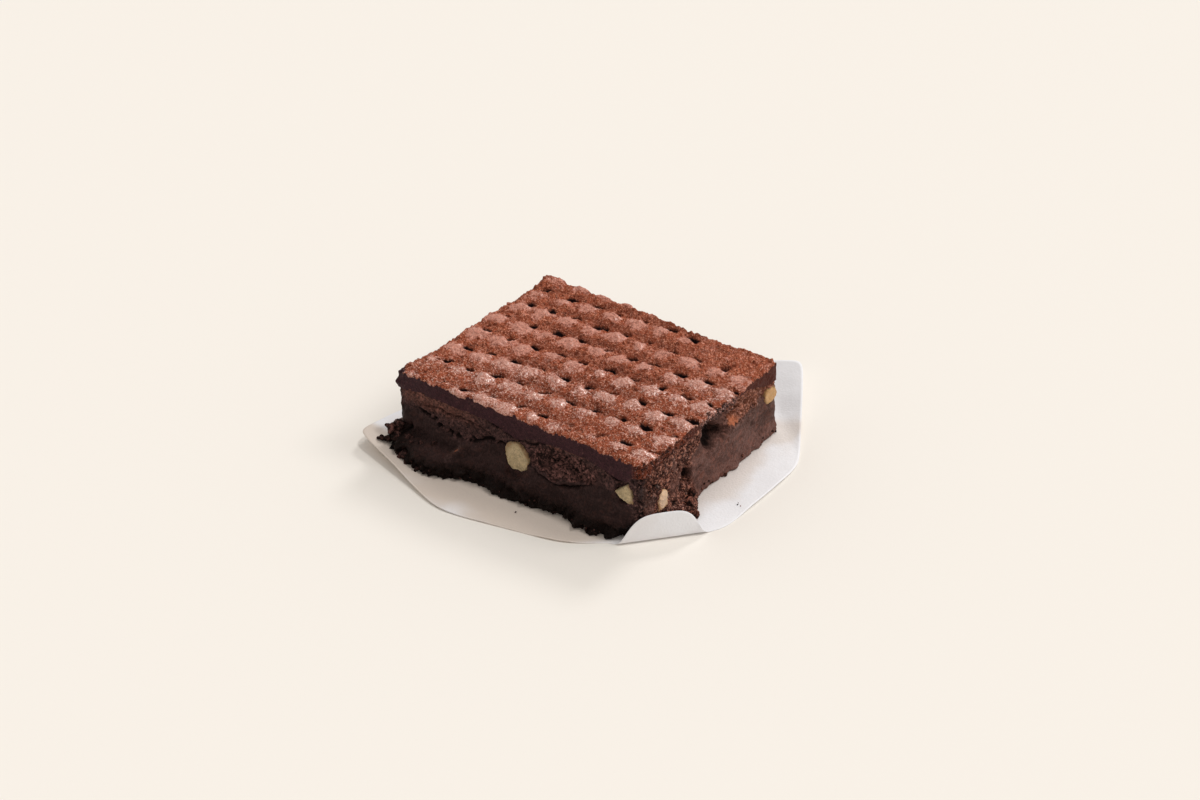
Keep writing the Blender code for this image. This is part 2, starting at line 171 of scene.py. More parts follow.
class CakeColours(bpy.types.PropertyGroup):
    """Colours that a maker would change."""

    cocoa_dark: colour_property("Cocoa, dark", "Shade between the cocoa grains", (0.110, 0.022, 0.010))
    cocoa: colour_property("Cocoa", "Most of the cocoa", (0.415, 0.099, 0.046))
    cocoa_light: colour_property("Cocoa, light", "The lightest cocoa grains", (0.760, 0.298, 0.168))
    dome: colour_property("Domes", "Smooth domes of the pressed icing", (0.700, 0.295, 0.214))
    # Glaze flecks are partly painted sheen; the sparkle is a painted highlight on the near domes.
    glaze_and_sheen: colour_property("Glaze", "Palest flecks on the domes", (0.800, 0.430, 0.345))
    painted_sparkle: colour_property("Sparkle", "Near-white specks on the near domes", (0.930, 0.700, 0.620))
    icing: colour_property("Icing", "Bare dark icing at the cut sides", (0.047, 0.0172, 0.0212))
    # Painted light: a lighter, redder copy of the icing for the lit +X side.
    icing_painted_lit: colour_property(
        "Icing, +X side", "Bare icing with cocoa rubbed into it", (0.090, 0.0235, 0.0155))
    crumb_dark: colour_property("Crumb, dark", "Between the crumb's ridges", (0.040, 0.013, 0.009))
    crumb_light: colour_property("Crumb, light", "Ridges of the crumb", (0.335, 0.124, 0.086))
    crumb_golden: colour_property(
        "Crumb, golden", "Toasted specks in the torn crumb", (0.430, 0.172, 0.108))
    fudge_dark: colour_property("Fudge, dark", "Dense base of the cake", (0.095, 0.043, 0.034))
    fudge_light: colour_property("Fudge, light", "Smeared streaks of the base", (0.195, 0.096, 0.078))
    toasted: colour_property("Toasted lump", "Orange-brown lumps on the +X side", (0.560, 0.185, 0.092))
    # Painted highlight: pale glint specks on torn crumb and on torn and wet icing.
    painted_glint: colour_property("Glint", "Palest specks of torn crumb and torn icing", (0.640, 0.350, 0.310))
    # Painted shade: the -Y side's fudge and crumb are multiplied by these tints, as if that side lay in
    # shade.
    front_shade_tint: colour_property(
        "Moist tint", "What the moist -Y side's fudge is multiplied by", (0.235, 0.24, 0.27))
    front_crumb_shade_tint: colour_property(
        "Moist crumb tint", "What the moist -Y side's crumb is multiplied by", (0.650, 0.800, 1.000))
    nut: colour_property("Nut", "Cut nut flesh", (0.590, 0.450, 0.260))
    nut_cream: colour_property("Nut, cream", "The palest nut's flesh", (0.900, 0.620, 0.430))
    nut_amber: colour_property("Nut, amber", "The amber nut's flesh", (0.660, 0.310, 0.090))
    nut_skin: colour_property("Nut skin", "Brown skin round the nut", (0.230, 0.110, 0.045))
    paper: colour_property("Paper", "Greaseproof paper", (0.905, 0.900, 0.930))
    # Grease stain round the cake, and painted shadow in front of its -Y side.
    paper_grease_and_shadow: colour_property("Paper, greasy", "Paper stained by the cake", (0.670, 0.550, 0.450))
    floor: colour_property("Floor", "Studio floor", (0.890, 0.848, 0.795))


# ---- Shapes of one number -------------------------------------------------------------------------

def bell(distance, reach):
    """A smooth hump: 1 at no distance, fading out past its reach."""
    return np.exp(-(distance / reach) ** 2)


def ramp(value, low, high):
    """Rise smoothly from 0 at low to 1 at high."""
    share = np.clip((value - low) / (high - low), 0.0, 1.0)
    return share * share * (3.0 - 2.0 * share)


def wave(place, length, phase):
    """A sine of the given wavelength."""
    return np.sin(math.tau * place / length + phase)


# ---- Randomness that repeats ----------------------------------------------------------------------

TABLE_SIDE = 32


def lattice_noise(points, cell, seed):
    """Smooth noise from -1 to 1: random numbers on a cubic lattice, eased from one to the next."""
    table = np.random.default_rng(seed).uniform(-1.0, 1.0, (TABLE_SIDE,) * 3)
    scaled = points / cell
    base = np.floor(scaled).astype(int)
    part = scaled - base
    part = part * part * (3.0 - 2.0 * part)
    total = np.zeros(points.shape[:-1])
    for corner in np.ndindex(2, 2, 2):
        index = (base + corner) % TABLE_SIDE
        weight = np.where(np.array(corner, bool), part, 1.0 - part).prod(axis=-1)
        total += weight * table[index[..., 0], index[..., 1], index[..., 2]]
    return total


def layered_noise(points, cell, layers, seed):
    """Sum of smooth noises, each half as coarse and half as strong as the one before."""
    return sum(
        0.5 ** k * lattice_noise(points, cell * 0.5 ** k, seed + k) for k in range(layers))


def wandering(points, cell, seed):
    """Smooth random shifts of places, one noise for each axis, so that round shapes turn uneven."""
    return np.stack([layered_noise(points, cell, 2, seed + 2 * axis) for axis in range(3)], axis=-1)


def air_pores(points, cell, seed, share):
    """Depth, 0 to 1, inside round pores: a share of a lattice's cells each hold one random ball."""
    rng = np.random.default_rng(seed)
    middles = rng.uniform(0.15, 0.85, (TABLE_SIDE,) * 3 + (3,))
    radii = rng.uniform(0.22, 0.62, (TABLE_SIDE,) * 3)
    radii[rng.uniform(size=radii.shape) > share] = 0.01
    scaled = points / cell
    base = np.floor(scaled).astype(int)
    deepest = np.zeros(points.shape[:-1])
    for step in np.ndindex(3, 3, 3):
        lattice = base + np.array(step) - 1
        index = tuple(np.moveaxis(lattice % TABLE_SIDE, -1, 0))
        away = np.linalg.norm(scaled - lattice - middles[index], axis=-1)
        deepest = np.maximum(deepest, 1.0 - (away / radii[index]) ** 2)
    return deepest


# ---- The cake's outline and layers ----------------------------------------------------------------

def corner_cut(place, half):
    """How far a side draws in near either of its upright corners."""
    return CORNER_ROUND * (bell(place - half, CORNER_REACH) + bell(place + half, CORNER_REACH))


def worn_foot(from_corner, z):
    """How far the foot is worn back at the corner of the -Y and +X sides."""
    return WORN_CORNER * bell(from_corner, 3.5) * (1.0 - ramp(z, 1.5, 5.5))


def worn_ledge(from_corner, z):
    """How far the ledge is worn back at the corner of the -Y and -X sides."""
    return WORN_LEDGE * bell(from_corner, 2.5) * (1.0 - ramp(z, 5.0, 8.0))


def front_out(x, z):
    """How far the -Y side stands out: a ragged foot, and a ledge at its -X end."""
    foot = FRONT_FOOT * (1.0 - ramp(z, 0.0, FRONT_FOOT_HEIGHT))
    foot = foot * (1.0 + 0.25 * wave(x, 27.0, 1.0) - 0.85 * ramp(x, 34.5, 42.0))
    ledge = LEDGE_REACH * bell(x + 30.0, 17.0) * (1.0 - ramp(z, LEDGE_SHOULDER, LEDGE_HEIGHT))
    worn = corner_cut(x, LENGTH / 2) + worn_foot(x - LENGTH / 2, z) + worn_ledge(x + LENGTH / 2, z)
    return foot + ledge + 0.3 * wave(x, 38.0, 0.4) - worn


def left_out(y, z):
    """How far the -X side stands out: a swollen near corner with the ledge's end, then a low foot."""
    ledge = LEDGE_REACH * bell(y + 36.0, 9.0) * (1.0 - ramp(z, LEDGE_SHOULDER, LEDGE_HEIGHT))
    foot = SIDE_FOOT * (1.0 - ramp(z, 0.0, 10.0)) * (1.0 + 0.5 * wave(y, 23.0, 2.0))
    swell = CORNER_SWELL * bell(y + 36.0, 9.0) * (0.3 + 0.5 * ramp(z, 7.0, 12.0) + 0.2 * ramp(z, 15.0, 20.0))
    worn = corner_cut(y, WIDTH / 2) + worn_ledge(y + WIDTH / 2, z)
    return ledge + foot + swell + 0.3 * wave(y, 41.0, 1.3) - worn


def right_out(y, z):
    """How far the +X side stands out: upright, with a lump at its foot and a hollow torn out above."""
    lump = LUMP_REACH * bell(y - LUMP_PLACE, 6.5) * (1.0 - ramp(z, 1.0, 7.5))
    hollow = bell(y - HOLLOW_PLACE, HOLLOW_REACH[0]) * bell(z - HOLLOW_LEVEL, HOLLOW_REACH[1])
    worn = corner_cut(y, WIDTH / 2) + worn_foot(y + WIDTH / 2, z)
    return lump - HOLLOW_DEPTH * hollow + 0.3 * wave(y, 36.0, 0.0) - worn


def back_out(x, z):
    """How far the +Y side stands out: a low uneven foot."""
    foot = SIDE_FOOT * (1.0 - ramp(z, 0.0, 11.0)) * (1.0 + 0.5 * wave(x, 29.0, 0.7))
    return foot + 0.3 * wave(x, 44.0, 2.2) - corner_cut(x, LENGTH / 2)


def block_place(x, y, z):
    """Spread a plain block's points out to the uneven sides, each side's stand-out fading across."""
    across, deep = x / LENGTH + 0.5, y / WIDTH + 0.5
    spread_x = across * right_out(y, z) - (1.0 - across) * left_out(y, z)
    spread_y = deep * back_out(x, z) - (1.0 - deep) * front_out(x, z)
    return np.stack([x + spread_x, y + spread_y, z], axis=-1)


def outward(x, y):
    """Level unit direction out of the cake: a steep superellipse's, so it turns round each corner."""
    away_x = np.sign(x) * np.abs(2.0 * x / LENGTH) ** 25 / LENGTH
    away_y = np.sign(y) * np.abs(2.0 * y / WIDTH) ** 25 / WIDTH
    size = np.hypot(away_x, away_y) + 1e-12
    return np.stack([away_x / size, away_y / size, np.zeros_like(x)], axis=-1)


def crumb_floor(x, y):
    """Boundary of fudge and crumb: waves along X; by the +X side it drops low, then steps up."""
    side = bell(x - 44.0, 11.0)
    step = ramp(y, -9.0, -4.0)
    drop = 5.3 * side * (0.35 + 0.65 * ramp(y, -34.0, -28.0)) * (1.0 - step)
    rise = 4.6 * side * step
    return HEIGHT - CRUMB_DEPTH + 1.6 * wave(x, 35.0, 2.2) + 0.4 * wave(y, 47.0, 0.5) + rise - drop


def icing_floor(x, y):
    """Boundary of crumb and icing: sags thrice along the -Y side, and is high along the +X side."""
    sags = 1.5 * bell(x + 44.0, 9.0) + 1.9 * bell(x, 5.0) + 2.0 * bell(x - 34.0, 6.0)
    depth = ICING_DEPTH + 0.4 * wave(x, 60.0, 2.6) + sags * (1.0 - ramp(y, -34.0, -20.0))
    corners = 1.4 * (1.0 - ramp(y, -30.0, -16.0)) + 3.0 * ramp(y, 20.0, 33.0)
    thin_depth = THIN_ICING_DEPTH + corners - 1.6 * bell(y - 13.0, 8.0)
    return HEIGHT - depth - (thin_depth - depth) * ramp(x, 37.0, 41.0)


def front_side(y):
    """1 on the -Y side, whose crumb is dense and whose colour carries painted shade, and 0 past its corners.
    """
    return 1.0 - ramp(y, -WIDTH / 2 + 0.2, -WIDTH / 2 + 2.2)


def lit_side(x):
    """1 on the +X side and 0 elsewhere."""
    return ramp(x, LENGTH / 2 - 3.5, LENGTH / 2 - 0.2)


def inset(x, y):
    """Distance in from the plain block's rim, below 0 outside."""
    return np.minimum(LENGTH / 2 - np.abs(x), WIDTH / 2 - np.abs(y))


def level_points(x, y):
    """Points at height 0."""
    return np.stack([x, y, np.zeros_like(x)], axis=-1)


def recess(x, y, height, points):
    """How deep a point lies in the black recess torn out of the +X side, from 0 to 1.

    It is two ragged ovals that meet: a slanting one, and an upright one at its near end.
    """
    level = HOLLOW_LEVEL - 1.2 - 0.45 * (y - HOLLOW_PLACE)
    slanting = np.hypot((y - HOLLOW_PLACE - 0.3) / 5.8, (height - level) / 3.2)
    upright = np.hypot((y - HOLLOW_PLACE + 2.0) / 3.6, (height - HOLLOW_LEVEL + 1.8) / 6.0)
    away = np.minimum(slanting, upright)
    away = away + 0.22 * layered_noise(points, 2.2, 3, 25)
    return lit_side(x) * (1.0 - ramp(away, 0.55, 1.0))


def lift(x, y, bend):
    """Height that one lifted paper corner adds: an arc past the bend line, then a straight slope."""
    (line_x, line_y), facing, radius, slope = bend
    facing, slope = math.radians(facing), math.radians(slope)
    past = (x - line_x) * math.cos(facing) + (y - line_y) * math.sin(facing)
    arc_end = radius * math.sin(slope)
    arc_rise = radius - np.sqrt(radius ** 2 - np.clip(past, 0.0, arc_end) ** 2)
    return arc_rise + np.maximum(0.0, past - arc_end) * math.tan(slope)


def paper_rise(x, y):
    """Height of the paper's underside away from its curl."""
    return lift(x, y, LEFT_LIFT) + lift(x, y, BACK_LIFT)


# ---- Making meshes --------------------------------------------------------------------------------

# Order of a quad's corners that turns it over and keeps its first corner
TURNED = [0, 3, 2, 1]


def put_in_mesh(name, points, face_sets, masks):
    """A mesh from points in millimetres, arrays of faces with equal corner counts, and point masks."""
    mesh = bpy.data.meshes.new(name)
    loops = np.concatenate([faces.ravel() for faces in face_sets])
    corners = np.concatenate([np.full(len(faces), faces.shape[1]) for faces in face_sets])
    mesh.vertices.add(len(points))
    mesh.vertices.foreach_set("co", (points * MM).astype(np.float32).ravel())
    mesh.loops.add(len(loops))
    mesh.loops.foreach_set("vertex_index", loops.astype(np.int32))
    mesh.polygons.add(len(corners))
    mesh.polygons.foreach_set("loop_start", np.concatenate([[0], np.cumsum(corners)[:-1]]))
    for mask_name, values in masks.items():
        attribute = mesh.attributes.new(mask_name, "FLOAT", "POINT")
        attribute.data.foreach_set("value", np.clip(values, 0.0, 1.0).astype(np.float32))
    mesh.update(calc_edges=True)
    mesh.shade_smooth()
    return mesh


def add_piece(name, mesh, material, replaced):
    """Put a finished mesh in the scene as one piece of the cake."""
    mesh.materials.append(material)
    piece = bpy.data.objects.new(name, mesh)
    bpy.context.scene.collection.objects.link(piece)
    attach(piece, BODY)
    if replaced:
        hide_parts(*replaced)
    return piece


def block_grid(cell):
    """The plain block seen from above, ruled into cells of about one size, as x and y."""
    cells_x, cells_y = round(LENGTH / cell), round(WIDTH / cell)
    return np.meshgrid(
        LENGTH * (np.arange(cells_x + 1) / cells_x - 0.5),
        WIDTH * (np.arange(cells_y + 1) / cells_y - 0.5))


def rim_of(grid):
    """A grid's rim, counterclockwise from its -X -Y corner."""
    return np.concatenate([grid[0, :-1], grid[:-1, -1], grid[-1, :0:-1], grid[:0:-1, 0]])


def grid_quads(index):
    """Quads between neighbouring rows and columns of a grid of point numbers."""
    return np.stack(
        [index[:-1, :-1], index[:-1, 1:], index[1:, 1:], index[1:, :-1]], axis=-1).reshape(-1, 4)


def ring_quads(index):
    """Quads between stacked closed rings of point numbers, facing out when the rings go up."""
    return grid_quads(np.concatenate([index, index[:, :1]], axis=1))


def cap_faces(rim, middle, facing_up):
    """Triangles from a rim to a middle point."""
    following = np.roll(rim, -1)
    hub = np.full(len(rim), middle)
    order = [rim, following, hub] if facing_up else [following, rim, hub]
    return np.stack(order, axis=-1)


# ---- Icing ----------------------------------------------------------------------------------------

def pressed_lattice(x, y, sizes):
    """Relief of the pressed top: how far each point is up a dome, down a pit and up a row's ridge.

    Each crossing of the lattice has its own random shift, size and height. Its dome is a soft bump;
    beside it, towards +X and +Y, lies a slit, a steep-sided oval pit. Rows stand on low ridges.
    """
    side = 16
    traits = np.random.default_rng(11).uniform(-1.0, 1.0, (8, side, side))
    level = y - ROW_SLANT * x
    column = np.floor((x - FIRST_COLUMN) / COLUMN_PITCH + 0.5).astype(int)
    row = np.floor((level - FIRST_ROW) / ROW_PITCH + 0.5).astype(int)
    ridge = bell(level - FIRST_ROW - row * ROW_PITCH, 3.0)
    domes, pits = np.zeros_like(x), np.zeros_like(x)
    for step_x, step_y in np.ndindex(3, 3):
        near_column, near_row = column + step_x - 1, row + step_y - 1
        (shift_x, shift_y, size, height,
         slit, turn, depth, slit_y) = traits[:, near_column % side, near_row % side]
        away_x = x - (FIRST_COLUMN + near_column * COLUMN_PITCH + 0.4 * shift_x)
        away_y = level - (FIRST_ROW + near_row * ROW_PITCH + 0.4 * shift_y)
        reach = sizes.dome_reach / MM * (1.0 + 0.12 * size)
        distance = np.hypot(away_x / (1.12 * reach), away_y / reach)
        domes = np.maximum(domes, np.exp(-distance ** 2.1) * (0.85 + 0.25 * height))
        along = away_x - PIT_SIDESTEP[0] - 0.4 * slit
        aside = away_y - PIT_SIDESTEP[1] - 0.3 * slit_y - 0.25 * turn * along
        oval = np.hypot(along / (1.65 + 0.45 * depth), aside / (1.15 + 0.3 * slit))
        pits = np.maximum(pits, np.exp(-oval ** 4) * (0.95 + 0.25 * depth))
    weak = weak_places(x, y)
    return domes * weak, pits * weak, ridge * weak


def weak_places(x, y):
    """1 where the press marked the top fully, less in patches near its rim and its far corners."""
    far = ramp(x, 10.0, 24.0) * ramp(y, 17.0, 24.0)
    near = ramp(-x, 20.0, 26.0) * ramp(-y, 20.0, 26.0)
    right = bell(x - 18.0, 8.0) * ramp(-y, 20.0, 26.0)
    left = ramp(-x, 26.0, 32.0) * bell(y - 25.0, 5.0)
    corner = bell(np.hypot(x + LENGTH / 2, y - WIDTH / 2), 8.0)
    return 1.0 - 0.85 * far - 0.75 * near - 0.8 * right - np.maximum(0.6 * left, 0.9 * corner)


def top_height(x, y, sizes):
    """Height of the pressed top with its masks: domes, pits, painted shade in the valleys between the rows,
    and where the domes shine with gloss and painted glints.
    """
    flat = level_points(x, y)
    shift = wandering(flat, 3.2, 27)
    domes, pits, ridge = pressed_lattice(x + 0.7 * shift[..., 0], y + 0.7 * shift[..., 1], sizes)
    patchy = 0.22 * layered_noise(flat, 1.5, 3, 30)
    pale = 0.14 * ramp(-x - 0.5 * y, 10.0, 26.0) + 0.14 * ramp(x + 0.5 * y, 22.0, 34.0)
    smooth = ramp(domes + 0.12 * ridge + patchy + pale, 0.12, 0.80)
    clumps = 0.9 * layered_noise(flat, 1.3, 3, 31) + 0.7 * lattice_noise(flat, 0.52, 35)
    crackle = 0.17 * layered_noise(flat, 1.0, 2, 36) + 0.12 * lattice_noise(flat, 0.6, 37)
    crackle += 0.22 * lattice_noise(flat, 2.2, 38)
    slump = 0.35 * layered_noise(flat, 17.0, 2, 39)
    peak = 1.5 * bell(x + LENGTH / 2, 4.5) * bell(y - WIDTH / 2, 4.5)
    peak -= 1.2 * bell(np.hypot(x + LENGTH / 2, y + WIDTH / 2), 3.5)
    height = HEIGHT - 1.0 + sizes.dome_height / MM * domes - sizes.pit_depth / MM * pits + 0.4 * ridge
    height += sizes.grain_height / MM * clumps * (1.0 - 0.8 * smooth) + crackle * smooth
    # Painted shade in the valleys between the rows, where the press marked fully.
    valley_shade = weak_places(x, y) * (1.0 - ramp(ridge + 0.3 * patchy, 0.0, 0.7))
    valley_shade = valley_shade * (1.0 - 0.8 * ramp(np.abs(x), 16.0, 30.0))
    # Where the domes shine, most on the near ones: it weighs their gloss coat and their painted sheen and
    # sparkle.
    shine_and_painted_glint = 0.3 + 0.7 * ramp(0.5 * x - y + 6.0 * lattice_noise(flat, 14.0, 40), -8.0, 14.0)
    masks = {"dome": smooth, "pit": pits, "valley_shade": valley_shade, "shine_and_painted_glint": shine_and_painted_glint}
    return height + slump + peak - 0.25 * bell(inset(x, y), 0.5), masks


def wet_place(x, y):
    """1 along the torn stretch of the +X side, where lumps of wet icing hang over the recess."""
    return lit_side(x) * ramp(y, -7.0, -3.0) * (1.0 - ramp(y, 9.5, 13.5))


def rough_place(x, y):
    """1 along the near half of the +X side, where the icing is torn and crumbly."""
    return lit_side(x) * (1.0 - ramp(y, -16.0, -6.0))


def icing_skin(x, y, height, inside, bulge):
    """Places of icing points: spread to the sides, with smears, wet lumps and edge domes bulging.

    inside is the distance from the rim of a point of the top, and 0 on the side.
    """
    points = block_place(x, y, height)
    wet = wet_place(x, y)
    out = 0.10 * lattice_noise(points * (0.25, 0.25, 1.0), 1.3, 21)
    out += 0.22 * layered_noise(points, 3.0, 3, 22)
    rough = rough_place(x, y)
    out += (0.15 * lit_side(x) + 0.35 * rough + 0.20 * wet) * layered_noise(points, 1.1, 2, 28)
    out += 0.12 * np.maximum(wet, rough) * lattice_noise(points, 0.5, 29)
    lumps = 0.5 - 1.5 * np.abs(layered_noise(points, 1.7, 3, 43))
    out += wet * (1.5 * lumps - 0.2)
    out -= 1.6 * recess(x, y, height, points) * ramp(22.0 - height, 0.0, 2.0)
    below = HEIGHT - height
    out += bulge * (1.0 - 0.7 * lit_side(x)) * bell(below - 0.9, 1.3) - 0.25 * bell(below, 0.8)
    out += 1.1 * bell(x + LENGTH / 2, 1.5) * bell(y + 35.0, 4.0) * bell(height - 20.5, 1.3)
    return points + outward(x, y) * (out * bell(inside, 1.3))[..., None]


def icing_wall(x, y, rim_height):
    """Heights of the wall's rows, from its ragged lower edge up to just below the rim."""
    ragged = 0.5 * layered_noise(level_points(x, y), 2.0, 2, 44)
    hang = wet_place(x, y) * (1.0 + 3.0 * ragged)
    floor = icing_floor(x, y) - 0.2 + 0.3 * ragged - hang
    share = (np.arange(WALL_ROWS) / WALL_ROWS)[:, None]
    return floor + (rim_height - floor) * share


def bare_corner(x, y):
    """1 at the corner of the -X and -Y sides, where the cocoa is rubbed off."""
    return bell(np.hypot(x + LENGTH / 2, y + WIDTH / 2), 3.0)


def cocoa_on_wall(x, y, below_rim, dome):
    """1 where cocoa reaches down the wall: uneven, further under a dome, less on the +X side."""
    reach = 0.35 + 1.3 * dome + 0.5 * layered_noise(level_points(x, y), 4.5, 3, 41)
    reach = reach * (1.0 - 0.6 * lit_side(x)) - 2.0 * bare_corner(x, y)
    return 1.0 - ramp(below_rim - reach, -0.3, 0.3)


def make_icing(sizes, material):
    """The dark icing slab: a fine grid on top, walls down to the crumb, closed underneath."""
    x, y = block_grid(sizes.top_cell / MM)
    height, on_top = top_height(x, y, sizes)
    smooth = on_top["dome"]
    top = icing_skin(x, y, height, inset(x, y), 0.9 * smooth)
    index = np.arange(x.size).reshape(x.shape)

    rim_x, rim_y, rim_height, rim_dome = (rim_of(grid) for grid in (x, y, height, smooth))
    wall_height = icing_wall(rim_x, rim_y, rim_height)
    wall_x, wall_y = (np.broadcast_to(rim, wall_height.shape) for rim in (rim_x, rim_y))
    wall = icing_skin(wall_x, wall_y, wall_height, np.zeros_like(wall_height), 0.9 * rim_dome)
    wall_index = x.size + np.arange(wall_height.size).reshape(wall_height.shape)
    wall_index = np.concatenate([wall_index, rim_of(index)[None]])
    cap = cap_faces(wall_index[0], x.size + wall_height.size, facing_up=False)
    points = np.concatenate([
        top.reshape(-1, 3), wall.reshape(-1, 3), [[0.0, 0.0, HEIGHT - ICING_DEPTH]]])

    cocoa_side = cocoa_on_wall(rim_x, rim_y, rim_height - wall_height, rim_dome)
    on_wall = {key: np.broadcast_to(rim_of(values), wall_height.shape) for key, values in on_top.items()}
    on_wall["dome"] = on_wall["dome"] * cocoa_side
    on_wall |= {
        "cocoa": cocoa_side, "lit": lit_side(wall_x),
        "wet": wet_place(wall_x, wall_y), "rough": rough_place(wall_x, wall_y)}
    none = np.zeros_like(x)
    cocoa_top = 1.0 - ramp(bare_corner(x, y), 0.35, 0.75)
    on_top |= {"cocoa": cocoa_top, "lit": lit_side(x), "wet": none, "rough": none}
    masks = {key: np.concatenate([on_top[key].ravel(), on_wall[key].ravel(), [0.0]]) for key in on_top}
    mesh = put_in_mesh("icing", points, [grid_quads(index), ring_quads(wall_index), cap], masks)
    return add_piece("icing", mesh, material, ["icing_top"])


# ---- Crumb and fudge ------------------------------------------------------------------------------

def nut_places():
    """Middle and half-sizes of every nut, in millimetres, from the nuts' solids."""
    found = {}
    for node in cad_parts:
        if node.startswith("nut_"):
            low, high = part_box(node)
            middle = np.array((low + high) / 2) / MM
            half = np.array((high - low) / 2) / MM
            found[node] = (middle, half)
    return found


def nut_pocket(points):
    """How deep each point of a side lies in a nut's place, from 0 outside to 1 well inside."""
    inside = np.zeros(points.shape[:-1])
    ragged = 0.10 * lattice_noise(points, 1.0, 51) + 0.07 * lattice_noise(points, 0.5, 52)
    for middle, half in nut_places().values():
        seen = 1.0 - np.abs(outward(middle[0], middle[1]).round())
        away = np.linalg.norm((points - middle) / half * seen, axis=-1) + ragged
        close = np.linalg.norm(points - middle, axis=-1) < 2.0 * half.max()
        inside = np.maximum(inside, close * (1.0 - ramp(away, 0.80, 1.02)))
    return inside


def crack(x, height, ends, levels, bow, width):
    """A groove along the -Y side: its line runs between two ends, bowed, and fades out at both."""
    share = np.clip((x - ends[0]) / (ends[1] - ends[0]), 0.0, 1.0)
    middle = 4.0 * share * (1.0 - share)
    line = levels[0] + (levels[1] - levels[0]) * share + bow * middle
    return bell(height - line, width) * np.sqrt(middle)


def air_hole(x, y, height, points):
    """How deep a point lies in the open air hole low on the +X side, from 0 to 1."""
    across, up = AIR_HOLE_REACH
    away = np.hypot((y - AIR_HOLE_PLACE) / across, (height - AIR_HOLE_LEVEL) / up)
    away = away + 0.2 * layered_noise(points, 1.6, 3, 58)
    return lit_side(x) * (1.0 - ramp(away, 0.55, 1.0))


def open_places(x, y, height, points, drift):
    """Where the side is torn, where the +X side is upper crumb, and where it is porous, 0 to 1."""
    lit, front_shaded = lit_side(x), front_side(y)
    baked = ramp(height - crumb_floor(x, y) + 0.9 * drift, -1.0, 0.8)
    near = 1.0 - ramp(y - 5.0 * ramp(height, 15.0, 18.0) + 1.5 * drift, -10.5, -8.0)
    upper = ramp(height + 1.2 * drift, 14.8, 16.8) * ramp(y, 5.0, 9.0)
    patch = bell(y + 18.0, 2.2) * bell(height - 10.0, 3.0)
    torn = lit * np.maximum(near * (1.0 - 0.8 * patch), upper)
    lens = ramp(1.0 - np.hypot((x - 16.0) / 13.5, (height - 14.8) / 5.5) + 0.2 * drift, 0.0, 0.25)
    porous = np.clip(baked * (1.0 - lit) * (1.0 - 0.45 * front_shaded * (1.0 - lens)) + torn, 0.0, 1.0)
    smeared = ramp(layered_noise(points * (1.0, 1.0, 0.7), 3.6, 3, 86), 0.25, 0.6)
    return torn, upper, porous * (1.0 - 0.7 * torn * smeared)


def open_pores(points, shaken, porous, torn, front_shaded):
    """Depth of the air pores, which come in three sizes, and of the fine specks between them.

    shaken is where the points lie once shifted unevenly, which keeps the pores from being round.
    """
    large = air_pores(shaken * (1.0, 1.0, 1.4), 2.5, 61, 0.35) * (1.0 - 0.6 * front_shaded)
    middle = air_pores(shaken * (1.0, 1.0, 1.2), 1.2, 62, 0.60)
    small = air_pores(shaken, 0.62, 63, 0.75)
    specks = porous * ramp(lattice_noise(shaken, 0.6, 65) + 0.3 * lattice_noise(shaken, 2.6, 67), 0.1, 0.5)
    small = small * (1.0 - 0.6 * torn * ramp(lattice_noise(points, 5.5, 88), -0.4, 0.4))
    holes = porous * (1.2 * large + 0.8 * middle * (1.0 - 0.3 * torn) + 0.45 * small)
    holes += 0.35 * front_shaded * specks
    holes += 0.5 * (1.0 - porous) * air_pores(shaken, 2.3, 78, 0.12)
    return holes, specks


def pore_row(x, y, height, shaken, drift):
    """Depth of the row of joined pores in the -Y side, just over the fudge."""
    row = ramp(lattice_noise(shaken, 1.0, 64) + 0.4 * lattice_noise(shaken, 3.4, 68), -0.25, 0.15)
    row = row * front_side(y) * bell(height - crumb_floor(x, y) - 1.0 + 0.7 * drift, 0.8)
    return row * (1.0 - ramp(x, -6.0, -2.0)) * ramp(x, -38.0, -33.0)


def front_cracks(x, y, height, points, drift):
    """Depth of the -Y side's cracks, and of the gap behind the ledge's end."""
    shaken = height + 0.5 * layered_noise(points, 1.8, 3, 66)
    cracks = sum(depth * crack(x, shaken, *line) for *line, depth in CRACKS)
    gap = bell(x + 37.2 + 0.4 * drift, 0.55) * (1.0 - ramp(height, 8.0, 10.5)) * ramp(height, 1.0, 3.0)
    return (np.clip(cracks, 0.0, 1.0) + gap) * front_side(y)


def ledge_place(x, y, height):
    """1 on the ledge at the -X end of the -Y side."""
    return bell(x + 41.0, 11.0) * (1.0 - ramp(y, -31.0, -24.0)) * (1.0 - ramp(height, 6.5, 10.5))


def toasted_lumps(x, y, height, points):
    """How far each point lies on the +X side's toasted lumps: a slanting one, and one at the foot."""
    lumps = lit_side(x) * np.maximum(
        bell(y - 10.2, 2.0) * bell(height - 16.2 + 0.5 * (y - 10.2), 2.0),
        bell(y - 10.0, 1.3) * bell(height - 0.8, 1.2))
    return lumps * (0.8 + 0.5 * layered_noise(points, 1.4, 2, 83))


